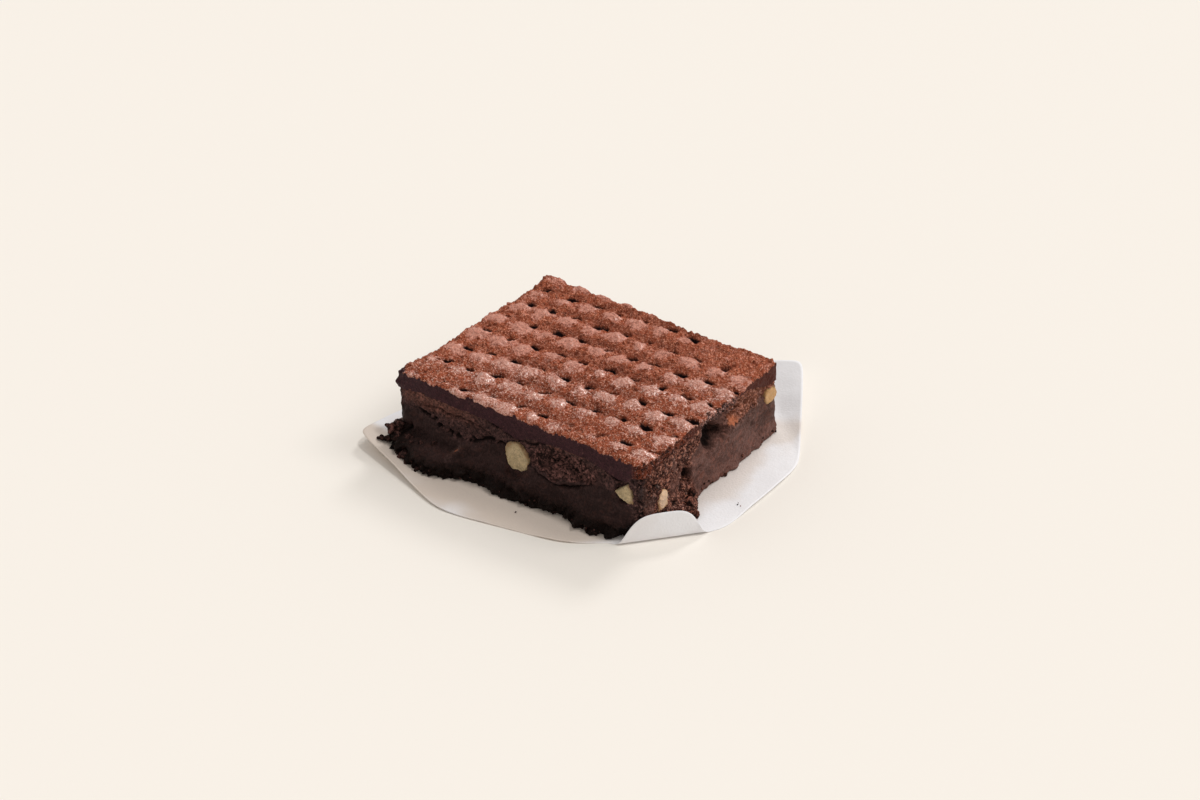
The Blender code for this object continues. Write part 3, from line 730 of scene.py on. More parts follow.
def side_places(x, y, height, points):
    """What the cut side is like at each point: drift is a noise, the rest are shares and depths.

    One function serves both layers, so their shared boundary shows only as a change of nature:
    porous where baked crumb or torn fudge is open, smeared where it is dense, ragged at the foot.
    """
    lit, front_shaded = lit_side(x), front_side(y)
    drift = layered_noise(points, 3.2, 3, 69)
    shaken = points + 0.4 * wandering(points, 1.7, 53)
    torn, upper, porous = open_places(x, y, height, points, drift)
    holes, specks = open_pores(points, shaken, porous, torn, front_shaded)
    air = air_hole(x, y, height, points)
    return SimpleNamespace(
        lit=lit, front_shaded=front_shaded, drift=drift, torn=torn, upper=upper, porous=porous,
        holes=holes, specks=specks, air=air,
        deep=np.clip(1.3 * air + 1.2 * recess(x, y, height, points), 0.0, 1.2),
        row=pore_row(x, y, height, shaken, drift),
        cracks=front_cracks(x, y, height, points, drift),
        foot=1.0 - ramp(height, 0.6 + 1.8 * front_shaded, 6.5 + 1.2 * front_shaded),
        ledge=ledge_place(x, y, height),
        toasted=toasted_lumps(x, y, height, points),
        amber=front_shaded * bell(x + 19.2, 0.8) * bell(height - 7.6, 0.9))


def side_relief(y, height, points, side, sizes):
    """How far the cut side stands out of its smooth place."""
    mound = side.lit * bell(y - 8.0, 4.5) * bell(height - 18.0, 3.0)
    spikes = np.maximum(0.0, lattice_noise(points * (1.0, 1.0, 0.6), 0.8, 79))
    spikes = spikes * (0.2 + 0.8 * side.front_shaded)
    rubble = 0.45 - np.abs(layered_noise(points, 4.0, 4, 77))
    grainy = 0.10 + 0.22 * np.maximum(side.torn, side.foot)
    ragged = (0.7 + 0.9 * side.front_shaded) * side.foot
    out = 0.32 * side.drift + grainy * layered_noise(points, 0.8, 2, 73)
    out += 0.30 * side.torn * layered_noise(points, 1.9, 2, 74) * (1.0 - side.foot)
    out += 0.15 * (1.0 - side.porous) * layered_noise(points * (0.3, 0.3, 1.0), 1.7, 3, 71)
    out += ragged * layered_noise(points, 2.6, 4, 75) * (1.0 - 0.65 * side.lit)
    out += 2.6 * side.ledge * rubble + 0.8 * side.foot ** 3 * spikes
    out += 0.9 * mound * (0.5 - 1.5 * np.abs(layered_noise(points, 1.8, 3, 43)))
    out -= sizes.pore_depth / MM * (1.0 - 0.35 * side.front_shaded + 0.2 * side.torn) * side.holes
    out += 1.3 * side.toasted - 1.2 * side.row - 1.4 * side.cracks - 3.0 * side.deep - 0.1
    return out


def golden_strip(x, height, drift):
    """1 on the golden stretch high on the -Y side, towards its -X end, where less painted shade is laid."""
    return ramp(height + 0.8 * drift, 14.0, 17.0) * (1.0 - ramp(x, -24.0, -8.0)) * ramp(x, -42.5, -40.0)


def near_corner(y, side):
    """1 on the +X side beside its corner with the -Y side."""
    return side.lit * bell(y + WIDTH / 2, 5.5)


def side_painted_shade(x, y, height, points, side):
    """How dark each point of the cut side is: painted shade in its pores, cracks, recess and air hole, under
    the ledge's end and by the +X side's near corner, and darker patches of torn crumb and of the +X side's
    dense part towards +Y.
    """
    dark = 0.8 * np.clip(side.holes, 0.0, 1.0) + 0.3 * side.specks * side.front_shaded
    dark += 1.2 * side.row + 1.1 * side.cracks
    dark += side.deep * (0.75 + 0.5 * layered_noise(points, 1.2, 2, 85)) + 0.4 * side.air
    dark += 0.35 * side.torn * (1.0 - side.upper) * ramp(layered_noise(points, 4.5, 3, 89), -0.1, 0.6)
    dense = 0.32 * side.lit * (1.0 - side.porous)
    dark += dense * ramp(y + side.drift, 10.0, 24.0) * ramp(height + side.drift, 3.0, 8.0)
    strip = golden_strip(x, height, side.drift)
    dark = dark * (1.0 - 0.6 * strip * side.front_shaded - 0.5 * side.lit * side.upper)
    dark += 0.25 * near_corner(y, side) + 0.9 * side.ledge * side.front_shaded * (1.0 - ramp(height, 2.0, 6.0))
    return dark


def side_masks(x, y, height, points, side):
    """The cut side's masks for its material."""
    flecks = ramp(lattice_noise(points, 1.4, 80), 0.62, 0.8) * side.front_shaded * side.foot
    thread = bell(icing_floor(x, y) - 0.5 - height, 0.25) * ramp(x, 7.0, 11.0) * (1.0 - ramp(x, 23.0, 28.0))
    # The golden strip and the thread under the icing get less painted shade, so they show lighter.
    unshaded = np.clip(golden_strip(x, height, side.drift) + thread, 0.0, 1.0)
    torn = 0.8 * side.torn * (1.0 - 0.6 * near_corner(y, side)) + 0.5 * side.toasted + 0.5 * flecks
    # Painted shade, weaker, on the hidden -X and +Y sides.
    painted_shade_elsewhere = 0.35 * (1.0 - side.lit) * (1.0 - side.front_shaded)
    return {
        "porous": side.porous,
        # Painted shade in the pores, cracks and hollows.
        "painted_pore_shade": np.clip(side_painted_shade(x, y, height, points, side), 0.0, 1.0),
        "torn": torn + side.amber + 0.075 * side.lit * side.upper,
        # Painted shade mask: full on the -Y side, lifted on the golden strip, the thread and the amber
        # fleck.
        "front_shaded": side.front_shaded * (1.0 - 0.8 * unshaded - 0.7 * side.amber) + painted_shade_elsewhere,
        # Foot mask: carries painted shade on the -Y side's foot and the ledge, and painted bounce light near
        # the other sides' foot.
        "foot": np.clip(side.foot * (0.15 + 0.85 * side.front_shaded) + side.ledge - side.amber, 0.0, 1.0),
    }


def make_layer(name, node, material, sizes, floor, ceiling):
    """One baked layer as a closed skin: rings up its cut side, with a cap below and above."""
    rim_x, rim_y = (rim_of(grid) for grid in block_grid(sizes.side_cell / MM))
    bottom, top = floor(rim_x, rim_y), ceiling(rim_x, rim_y)
    share = np.linspace(0.0, 1.0, LAYER_ROWS + 1)[:, None]
    height = bottom + (top - bottom) * share
    x = np.broadcast_to(rim_x, height.shape)
    y = np.broadcast_to(rim_y, height.shape)
    smooth = block_place(x, y, height)
    side = side_places(x, y, height, smooth)
    masks = side_masks(x, y, height, smooth, side)
    out = side_relief(y, height, smooth, side, sizes) - NUT_POCKET * nut_pocket(smooth)
    points = smooth + outward(x, y) * out[..., None]

    index = np.arange(height.size).reshape(height.shape)
    low_cap = cap_faces(index[0], height.size, facing_up=False)
    high_cap = cap_faces(index[-1], height.size + 1, facing_up=True)
    middles = [[0.0, 0.0, float(bottom.mean())], [0.0, 0.0, float(top.mean())]]
    masks = {key: np.concatenate([values.ravel(), [0.0, 0.0]]) for key, values in masks.items()}
    points = np.concatenate([points.reshape(-1, 3), middles])
    mesh = put_in_mesh(name, points, [ring_quads(index), low_cap, high_cap], masks)
    return add_piece(name, mesh, material, [node])


def base_underside(x, y):
    """The fudge rests on the paper and follows its lifted corner."""
    foot = block_place(x, y, np.full_like(x, 1.0))
    return paper_rise(foot[..., 0], foot[..., 1]) + 0.45


def make_crumb(sizes, material):
    """The airy layer."""
    return make_layer(
        "crumb", "crumb_layer", material, sizes,
        crumb_floor, lambda x, y: icing_floor(x, y) + 0.2)


def make_fudge(sizes, material):
    """The dense base with its ragged foot."""
    return make_layer("fudge", "fudge_base", material, sizes, base_underside, crumb_floor)


# ---- Nuts -----------------------------------------------------------------------------------------

def ball_shape():
    """A ball's points, ring by ring and then both poles, and the rings' point numbers."""
    polar = math.pi * (np.arange(1, NUT_RINGS) / NUT_RINGS)[:, None]
    turn = math.tau * (np.arange(NUT_SPOKES) / NUT_SPOKES)[None]
    index = np.arange((NUT_RINGS - 1) * NUT_SPOKES).reshape(NUT_RINGS - 1, NUT_SPOKES)
    rings = np.stack([
        np.sin(polar) * np.cos(turn), np.sin(polar) * np.sin(turn),
        np.broadcast_to(np.cos(polar), index.shape)], axis=-1)
    return np.concatenate([rings.reshape(-1, 3), [[0.0, 0.0, 1.0], [0.0, 0.0, -1.0]]]), index


def nut_block(ball, node, facing, seed):
    """A ball's points drawn in to a blunt-edged block with the nut's own straight edges."""
    along = np.abs(facing[[1, 0, 2]])
    blunt = 72.0 * np.arange(5) + 20.0 * np.sin(2.0 * np.arange(5) + seed) + 40.0 * seed
    edges = np.radians(NUT_EDGES.get(node, blunt))[:, None]
    cuts = np.cos(edges) * along + np.sin(edges) * np.array([0.0, 0.0, 1.0])
    cuts = np.concatenate([cuts, [facing, -facing]])
    nearness = (np.maximum(0.0, ball @ cuts.T) ** NUT_BLUNTNESS).sum(-1)[:, None]
    block = ball / nearness ** (1.0 / NUT_BLUNTNESS)
    return 2.0 * (block - block.min(0)) / (block.max(0) - block.min(0)) - 1.0


def make_nut(node, middle, half, seed, material):
    """One chopped nut piece: a block swollen unevenly, then cut to a nearly flat face where it shows."""
    ball, index = ball_shape()
    facing = outward(middle[0], middle[1]).round()
    block = nut_block(ball, node, facing, seed)
    swell = 1.0 + 0.11 * layered_noise(ball * 4.0 + 7.0 * seed, 3.0, 3, 81)
    swell += 0.045 * layered_noise(ball * half + 7.0 * seed, 0.7, 2, 82)
    local = block * swell[:, None]
    face = local @ facing
    cut = 0.93 + 0.06 * layered_noise(local * 3.0 + 5.0 * seed, 1.6, 3, 84)
    local = local + (np.minimum(face, cut) - face)[:, None] * facing
    across = np.linalg.norm(block * (1.0 - np.abs(facing)), axis=-1)
    points = middle + local * half
    body = ring_quads(index)[:, TURNED]
    north = cap_faces(index[0], len(points) - 2, facing_up=True)
    south = cap_faces(index[-1], len(points) - 1, facing_up=False)
    masks = {
        "rim": ramp(across, 0.6, 1.05),
        "amber": np.full(len(points), 1.0 * (node == "nut_side_far")),
        "cream": np.full(len(points), 1.0 * (node == "nut_side_low")),
    }
    mesh = put_in_mesh(node, points, [body, north, south], masks)
    return add_piece(node + "_piece", mesh, material, [node])


# ---- Paper ----------------------------------------------------------------------------------------

def paper_reach(angle):
    """Distance from the origin to the paper's rim: a superellipse with sides of its own, and a flap."""
    total = 0.0
    for facing, distance in PAPER_SIDES:
        nearness = np.cos(angle - math.radians(facing)) / distance
        total = total + np.maximum(0.0, nearness) ** PAPER_CORNER_POWER
    turned = (angle - math.radians(CURL_FACING) + math.pi) % math.tau - math.pi
    aside = CURL_DISTANCE * np.tan(np.clip(turned, -1.0, 1.0)) - FLAP_PLACE
    flap = FLAP_REACH * np.exp(-(aside / FLAP_HALF_WIDTH) ** 4)
    return total ** (-1.0 / PAPER_CORNER_POWER) + flap


def paper_surface(x, y):
    """The sheet's places: lifted corners, and past the curl line a roll up round an arc."""
    facing = math.radians(CURL_FACING)
    facing_x, facing_y = math.cos(facing), math.sin(facing)
    past = np.maximum(0.0, x * facing_x + y * facing_y - CURL_DISTANCE)
    aside = np.abs(y * facing_x - x * facing_y - FLAP_PLACE)
    full_turn = math.radians(CURL_ANGLE) * (1.0 - ramp(aside, CURL_FLAT_TOP, CURL_HALF_WIDTH))
    turn = np.minimum(past / CURL_RADIUS, full_turn)
    straight = past - turn * CURL_RADIUS
    shift = CURL_RADIUS * np.sin(turn) + straight * np.cos(turn) - past
    rise = CURL_RADIUS * (1.0 - np.cos(turn)) + straight * np.sin(turn)
    height = PAPER_REST + rise + paper_rise(x, y) + wrinkles(x, y) * (past == 0.0)
    return np.stack([x + shift * facing_x, y + shift * facing_y, height], axis=-1)


def wrinkles(x, y):
    """Soft unevenness of the paper where the cake's weight doesn't press it flat."""
    uneven = 0.35 + 0.35 * layered_noise(level_points(x, y), 13.0, 3, 91)
    return ramp(-inset(x, y), 7.0, 18.0) * np.maximum(0.0, uneven)


def make_paper(sizes, material):
    """The sheet: rings round a middle point, slightly wrinkled where it is free of the cake."""
    angle = math.tau * np.arange(PAPER_SPOKES) / PAPER_SPOKES
    fraction = (np.arange(1, PAPER_RINGS + 1) / PAPER_RINGS)[:, None]
    reach = fraction * (paper_reach(angle) + 0.15 * wave(angle, 0.9, 1.0))
    x, y = reach * np.cos(angle), reach * np.sin(angle)
    points = paper_surface(x, y)
    cake = np.maximum(np.abs(x) - LENGTH / 2 - 2.0, np.abs(y) - WIDTH / 2 - 4.0)
    cake = cake + 3.0 * layered_noise(level_points(x, y), 9.0, 3, 95)
    # Grease stain round the cake, widened in front of the -Y side into a painted shadow.
    front = ramp(-y, 33.0, 38.0)
    grease_and_shadow = 1.0 - ramp(cake, 10.0 * front, 7.0 + 15.0 * front)
    facing = math.radians(CURL_FACING)
    past = x * math.cos(facing) + y * math.sin(facing) - CURL_DISTANCE
    grease_and_shadow = grease_and_shadow * (0.6 + 0.4 * front) * (1.0 - 0.8 * ramp(past, -4.0, 0.0))
    points = np.concatenate([points.reshape(-1, 3), [[0.0, 0.0, PAPER_REST]]])
    index = np.arange(x.size).reshape(x.shape)
    hub = cap_faces(index[0], x.size, facing_up=True)
    masks = {"grease_and_shadow": np.concatenate([grease_and_shadow.ravel(), [1.0]])}
    mesh = put_in_mesh("paper", points, [ring_quads(index)[:, ::-1], hub], masks)
    piece = add_piece("paper", mesh, material, ["paper_sheet"])
    solidify = piece.modifiers.new("thickness", "SOLIDIFY")
    solidify.thickness = sizes.paper_thickness
    solidify.offset = 1.0
    return piece


# ---- Loose crumbs ---------------------------------------------------------------------------------

def lump_shape(cells):
    """A cube's six faces, each a grid of square cells, pushed out to a ball: points and quads."""
    line = np.linspace(-1.0, 1.0, cells + 1)
    across, up = (grid.ravel() for grid in np.meshgrid(line, line, indexing="ij"))
    index = np.arange(across.size).reshape(cells + 1, cells + 1)
    quads = grid_quads(index)[:, TURNED]
    points, faces = [], []
    for axis in range(3):
        for sign in (-1.0, 1.0):
            square = np.roll(np.stack([np.full(across.size, sign), across, up], axis=1), axis, axis=1)
            faces.append((quads if sign > 0 else quads[:, ::-1]) + across.size * len(points))
            points.append(square)
    merged, place = np.unique(np.concatenate(points).round(6), axis=0, return_inverse=True)
    return merged / np.linalg.norm(merged, axis=1, keepdims=True), place.ravel()[np.concatenate(faces)]


def scatter(name, places, radii, cells, seed, material):
    """Many crumbs in one mesh: a lump turned, stretched and made craggy at random at each place.

    What would reach through the paper is flattened against it.
    """
    rng = np.random.default_rng(seed)
    lump, quads = lump_shape(cells)
    count = len(places)
    stretch = rng.uniform(0.55, 1.35, (count, 1, 3))
    offset = rng.uniform(0.0, 60.0, (count, 1, 3))
    craggy = 1.0 + 0.35 * layered_noise(lump[None] + offset, 0.9, 3, seed)[..., None]
    turn = np.linalg.qr(rng.normal(size=(count, 3, 3)))[0]
    turn = turn * np.sign(np.linalg.det(turn))[:, None, None]
    shapes = (lump[None] * stretch * craggy) @ turn * radii[:, None, None]
    points = (shapes + places[:, None, :]).reshape(-1, 3)
    points[:, 2] = np.maximum(points[:, 2], paper_rise(points[:, 0], points[:, 1]) + 0.1)
    faces = (quads[None] + len(lump) * np.arange(count)[:, None, None]).reshape(-1, 4)
    # Painted shade on the crumbs, more for those lying low, with darker random patches.
    low = np.repeat(0.2 + 0.2 * (places[:, 2] < 5.0), len(lump))
    masks = {
        "porous": np.ones(len(points)),
        "painted_pore_shade": low - layered_noise(points, 0.9, 2, seed + 3),
        # Painted shade on the crumbs by the -Y side, darkest near the foot.
        "front_shaded": np.repeat(0.9 * front_side(places[:, 1]), len(lump)),
        "torn": np.repeat(rng.uniform(0.0, 1.0, count) * (places[:, 2] < 1.0), len(lump)),
        "foot": np.repeat(rng.uniform(0.35, 0.9, count) * front_side(places[:, 1]), len(lump)),
    }
    mesh = put_in_mesh(name, points, [faces], masks)
    return add_piece(name, mesh, material, [])


def make_chunks(material):
    """Rubble along the ledge at the -X end of the -Y side, and chunks at the +X side's foot."""
    rng = np.random.default_rng(111)
    along = rng.uniform(0.0, 1.0, RUBBLE_COUNT)
    on_left = along > RUBBLE_CORNER
    x = np.where(on_left, -LENGTH / 2, -LENGTH / 2 + RUBBLE_LENGTH * along ** 1.3)
    y = np.where(on_left, -WIDTH / 2 + RUBBLE_LENGTH * (along - RUBBLE_CORNER), -WIDTH / 2)
    height = rng.uniform(1.0, 7.6, RUBBLE_COUNT)
    places = block_place(x, y, height)
    places += outward(x, y) * rng.uniform(-1.2, -0.2, RUBBLE_COUNT)[:, None]
    radii = rng.uniform(0.5, 1.6, RUBBLE_COUNT) * (1.0 - 0.5 * along)
    alone = np.array(LEDGE_CHUNKS + FOOT_CHUNKS)
    places = np.concatenate([places, alone[:, :3]])
    radii = np.concatenate([radii, alone[:, 3]])
    return scatter("foot_chunks", places, radii, 7, 112, material)


def make_loose_crumbs(sizes, material):
    """Small crumbs stuck along the foot, and a few fallen ones on the paper."""
    rng = np.random.default_rng(101)
    count = sizes.crumb_count
    rim_x, rim_y = (rim_of(grid) for grid in block_grid(CRUMB_SPACING))
    weight = 0.5 + 1.0 * (rim_y < -WIDTH / 2 + 1) + 2.0 * bell(np.hypot(rim_x + 42.0, rim_y + 34.0), 12.0)
    chosen = rng.choice(len(rim_x), count, p=weight / weight.sum())
    x = np.clip(rim_x[chosen] + rng.uniform(-0.7, 0.7, count), -LENGTH / 2, LENGTH / 2)
    y = np.clip(rim_y[chosen] + rng.uniform(-0.7, 0.7, count), -WIDTH / 2, WIDTH / 2)
    places = block_place(x, y, rng.uniform(0.7, 2.5, count))
    places += outward(x, y) * rng.uniform(0.0, 0.5, count)[:, None]
    radii = rng.uniform(0.18, 0.5, count)

    angle = rng.uniform(0.0, math.tau, FALLEN_COUNT)
    far = np.array([(math.cos(a) * (LENGTH / 2 + 7.0), math.sin(a) * (WIDTH / 2 + 8.0)) for a in angle])
    far += rng.normal(0.0, 1.6, (FALLEN_COUNT, 2))
    spot = np.array(FALLEN_SPOT) + rng.normal(0.0, 0.8, (3, 2))
    clear = np.linalg.norm(far - CURL_MIDDLE, axis=1) > CURL_CLEARANCE
    far = np.concatenate([far[clear], spot])
    far = far[inset(far[:, 0], far[:, 1]) < -2.0]
    ground = paper_surface(far[:, 0], far[:, 1])
    small = rng.uniform(0.12, 0.27, len(far))
    ground[:, 2] += 0.4 * small + sizes.paper_thickness / MM
    return scatter(
        "loose_crumbs", np.concatenate([places, ground]), np.concatenate([radii, small]), 2, 102, material)


# ---- Materials ------------------------------------------------------------------------------------

def new_node(tree, kind, settings=None, **inputs):
    """Add a node, set its properties, then fill or link its inputs by name."""
    node = tree.nodes.new(kind)
    for name, value in (settings or {}).items():
        setattr(node, name, value)
    set_inputs(tree, node, **inputs)
    return node


def set_inputs(tree, node, **inputs):
    """Fill or link a node's inputs by name, where _ stands for a space."""
    for name, value in inputs.items():
        connect(tree, value, node.inputs[name.replace("_", " ")])


def connect(tree, value, socket):
    """Link a socket to another's output, or give it a plain value; a colour has three numbers."""
    if isinstance(value, bpy.types.NodeSocket):
        tree.links.new(value, socket)
    elif socket.type == "RGBA":
        socket.default_value = (*value, 1.0)
    else:
        socket.default_value = value


def maths(tree, operation, first, second=0.0, clamp=False):
    """One Math node's output."""
    node = tree.nodes.new("ShaderNodeMath")
    node.operation = operation
    node.use_clamp = clamp
    connect(tree, first, node.inputs[0])
    connect(tree, second, node.inputs[1])
    return node.outputs[0]


def times(tree, first, second):
    """The product of two values."""
    return maths(tree, "MULTIPLY", first, second)


def blend(tree, amount, first, second, kind="MIX"):
    """Blend two colours by an amount."""
    node = tree.nodes.new("ShaderNodeMix")
    node.data_type = "RGBA"
    node.blend_type = kind
    connect(tree, amount, node.inputs[0])
    connect(tree, first, node.inputs[6])
    connect(tree, second, node.inputs[7])
    return node.outputs[2]


def spread(tree, value, low, high, new_low=0.0, new_high=1.0):
    """Stretch a value's range, clamped."""
    node = tree.nodes.new("ShaderNodeMapRange")
    for index, number in enumerate((value, low, high, new_low, new_high)):
        connect(tree, number, node.inputs[index])
    return node.outputs[0]


def mask(tree, name):
    """A piece's own point mask."""
    return new_node(tree, "ShaderNodeAttribute", {"attribute_name": name}).outputs["Fac"]


def grain_group():
    """Grain, made once: clumps of one size broken up by grains of another, as a mask from 0 to 1."""
    group = bpy.data.node_groups.get("grain")
    if group:
        return group
    group = bpy.data.node_groups.new("grain", "ShaderNodeTree")
    group.interface.new_socket("Vector", in_out="INPUT", socket_type="NodeSocketVector")
    for name, scale in (("Clump Scale", 700.0), ("Grain Scale", 2600.0)):
        socket = group.interface.new_socket(name, in_out="INPUT", socket_type="NodeSocketFloat")
        socket.default_value = scale
    group.interface.new_socket("Mask", in_out="OUTPUT", socket_type="NodeSocketFloat")
    given = group.nodes.new("NodeGroupInput").outputs
    clumps = new_node(
        group, "ShaderNodeTexNoise", Vector=given["Vector"], Scale=given["Clump Scale"],
        Detail=4.0, Roughness=0.6)
    grains = new_node(
        group, "ShaderNodeTexNoise", Vector=given["Vector"], Scale=given["Grain Scale"],
        Detail=2.0, Roughness=0.5)
    both = maths(group, "ADD", clumps.outputs["Fac"], grains.outputs["Fac"])
    result = group.nodes.new("NodeGroupOutput")
    group.links.new(spread(group, both, 0.80, 1.20), result.inputs["Mask"])
    return group


def make_material(name):
    """An empty material: its tree, its shader and its Object coordinates."""
    material = bpy.data.materials.new(name)
    material.use_nodes = True
    tree = material.node_tree
    shader = tree.nodes["Principled BSDF"]
    place = tree.nodes.new("ShaderNodeTexCoord").outputs["Object"]
    return material, tree, shader, place


def grain_mask(tree, group, place, clump, grain):
    """The grain group's mask at these scales."""
    node = new_node(
        tree, "ShaderNodeGroup", {"node_tree": group},
        Vector=place, Clump_Scale=clump, Grain_Scale=grain)
    return node.outputs["Mask"]


def add_bump(tree, shader, height, distance):
    """Feed a height into the shader's normal."""
    bump = new_node(tree, "ShaderNodeBump", Height=height, Distance=distance, Strength=1.0)
    tree.links.new(bump.outputs["Normal"], shader.inputs["Normal"])


def scaled(colour, factor):
    """A colour made lighter or darker."""
    return tuple(factor * channel for channel in colour)


def swing(tree, value, strength):
    """A value's swing about one half, made this strong."""
    return times(tree, maths(tree, "SUBTRACT", value, 0.5), strength)


def cocoa_tone(tree, colours, clumps, fine, patches):
    """Cocoa powder: clumps and grains of three shades, with painted shade in the valleys between the rows.
    """
    tone = blend(tree, spread(tree, clumps, 0.0, 0.5), colours.cocoa_dark, colours.cocoa)
    tone = blend(tree, spread(tree, fine, 0.55, 1.0), tone, colours.cocoa_light)
    tone = blend(tree, spread(tree, patches, 0.4, 1.0, 0.0, 0.5), tone, colours.cocoa_dark)
    return blend(tree, times(tree, mask(tree, "valley_shade"), 0.45), tone, colours.cocoa_dark)


def glaze_tone(tree, colours, clumps, fine, shine_and_painted_glint):
    """The domes' glaze: pale flecks that are partly painted sheen, painted sparkle highlights and fine
    cracks, most where the domes shine.
    """
    tone = blend(tree, fine, scaled(colours.dome, 0.75), scaled(colours.dome, 1.15))
    # Glaze flecks, partly painted sheen, more where the domes shine.
    flecked = spread(tree, shine_and_painted_glint, 0.0, 1.0, 0.45, 1.0)
    flecked = times(tree, flecked, spread(tree, clumps, 0.55, 1.0))
    tone = blend(tree, flecked, tone, colours.glaze_and_sheen)
    near = spread(tree, shine_and_painted_glint, 0.5, 1.0)
    # Painted highlight: near-white sparkle on the near domes.
    tone = blend(tree, times(tree, spread(tree, fine, 0.74, 1.02), near), tone, colours.painted_sparkle)
    cracked = times(tree, spread(tree, fine, 0.35, 0.15), near)
    return blend(tree, times(tree, cracked, 0.35), tone, colours.cocoa)


def bare_icing_tone(tree, colours, clumps, fine):
    """Icing at the sides: dark and plain, a lighter painted lit copy on the +X side, crumbly where torn, and
    lumpy where it hangs wet.
    """
    tone = blend(tree, clumps, scaled(colours.icing, 0.7), scaled(colours.icing, 1.4))
    # Painted light: the +X side takes the lit copy of the icing.
    tone = blend(tree, mask(tree, "lit"), tone, colours.icing_painted_lit)
    crumbly = blend(
        tree, spread(tree, clumps, 0.2, 0.9), scaled(colours.icing_painted_lit, 0.3), scaled(colours.cocoa, 0.5))
    # Painted highlight specks on the crumbly icing.
    crumbly = blend(tree, spread(tree, fine, 0.92, 1.05), crumbly, colours.painted_glint)
    tone = blend(tree, mask(tree, "rough"), tone, crumbly)
    # Painted highlights: pale lumps and glint specks on the wet icing.
    lumps = blend(
        tree, spread(tree, clumps, 0.5, 0.95), scaled(colours.icing_painted_lit, 0.35), scaled(colours.dome, 0.75))
    lumps = blend(tree, spread(tree, fine, 0.75, 1.0), lumps, colours.painted_glint)
    return blend(tree, mask(tree, "wet"), tone, lumps)


def icing_material(colours, grain):
    """Cocoa-dusted top with glazed domes and pits painted near black, over bare icing at the sides."""
    material, tree, shader, place = make_material("pressed_icing")
    clumps = grain_mask(tree, grain, place, 700.0, 2300.0)
    fine = grain_mask(tree, grain, place, 1500.0, 3600.0)
    patches = grain_mask(tree, grain, place, 330.0, 1000.0)
    shine_and_painted_glint = mask(tree, "shine_and_painted_glint")
    uneven = swing(tree, fine, 0.8)
    dome = spread(tree, maths(tree, "ADD", mask(tree, "dome"), uneven), 0.15, 0.95)
    pit = spread(tree, mask(tree, "pit"), 0.08, 0.35)
    edge = spread(tree, maths(tree, "ADD", mask(tree, "cocoa"), uneven), 0.38, 0.62)
    cocoa = cocoa_tone(tree, colours, clumps, fine, patches)
    top = blend(tree, dome, cocoa, glaze_tone(tree, colours, clumps, fine, shine_and_painted_glint))
    # Pits: bare icing, darkened further to near black as painted shade.
    top = blend(tree, pit, top, scaled(colours.icing, 0.3))
    bare = bare_icing_tone(tree, colours, clumps, fine)
    shine = times(tree, dome, times(tree, edge, maths(tree, "SUBTRACT", 1.0, pit)))
    shine = times(tree, shine, shine_and_painted_glint)
    wet = times(tree, mask(tree, "wet"), 0.35)
    set_inputs(
        tree, shader, Base_Color=blend(tree, edge, bare, top), Roughness=0.60,
        Coat_Weight=maths(tree, "ADD", shine, wet, clamp=True),
        Coat_Roughness=0.20, Coat_IOR=1.6, Specular_IOR_Level=0.10)
    add_bump(tree, shader, fine, GRAIN_BUMP)
    return material


def crumb_tone(tree, colours, grains, patches, fine):
    """Baked crumb: light ridges over dark, with golden specks and painted glints where it is torn."""
    tone = blend(tree, grains, colours.crumb_dark, colours.crumb_light)
    tone = blend(tree, spread(tree, patches, 0.2, 1.0, 0.0, 0.7), tone, colours.crumb_dark)
    specks = times(tree, spread(tree, grains, 0.80, 1.00), mask(tree, "torn"))
    tone = blend(tree, specks, tone, colours.crumb_golden)
    # Painted highlight specks on the torn crumb.
    painted_glints = times(tree, spread(tree, fine, 0.94, 1.05), mask(tree, "torn"))
    return blend(tree, painted_glints, tone, colours.painted_glint)


def fudge_tone(tree, colours, grains, patches, place):
    """Dense fudge: smeared level streaks, and painted bounce light making it paler near the foot of the
    sides without painted shade.
    """
    streak = new_node(tree, "ShaderNodeMapping", Vector=place, Scale=(0.3, 0.3, 1.0))
    streaks = new_node(tree, "ShaderNodeTexNoise", Vector=streak.outputs["Vector"], Scale=420.0, Detail=5.0)
    amount = maths(tree, "ADD", streaks.outputs["Fac"], times(tree, grains, 0.25))
    unshaded = maths(tree, "SUBTRACT", 1.0, mask(tree, "front_shaded"))
    # Painted bounce light near the foot, where there is no painted shade.
    painted_bounce = times(tree, spread(tree, mask(tree, "foot"), 0.0, 0.15, 0.0, 0.28), unshaded)
    amount = spread(tree, maths(tree, "ADD", amount, painted_bounce), 0.45, 0.85)
    tone = blend(tree, amount, colours.fudge_dark, colours.fudge_light)
    return blend(tree, spread(tree, patches, 0.6, 1.0, 0.0, 0.3), tone, colours.crumb_light)


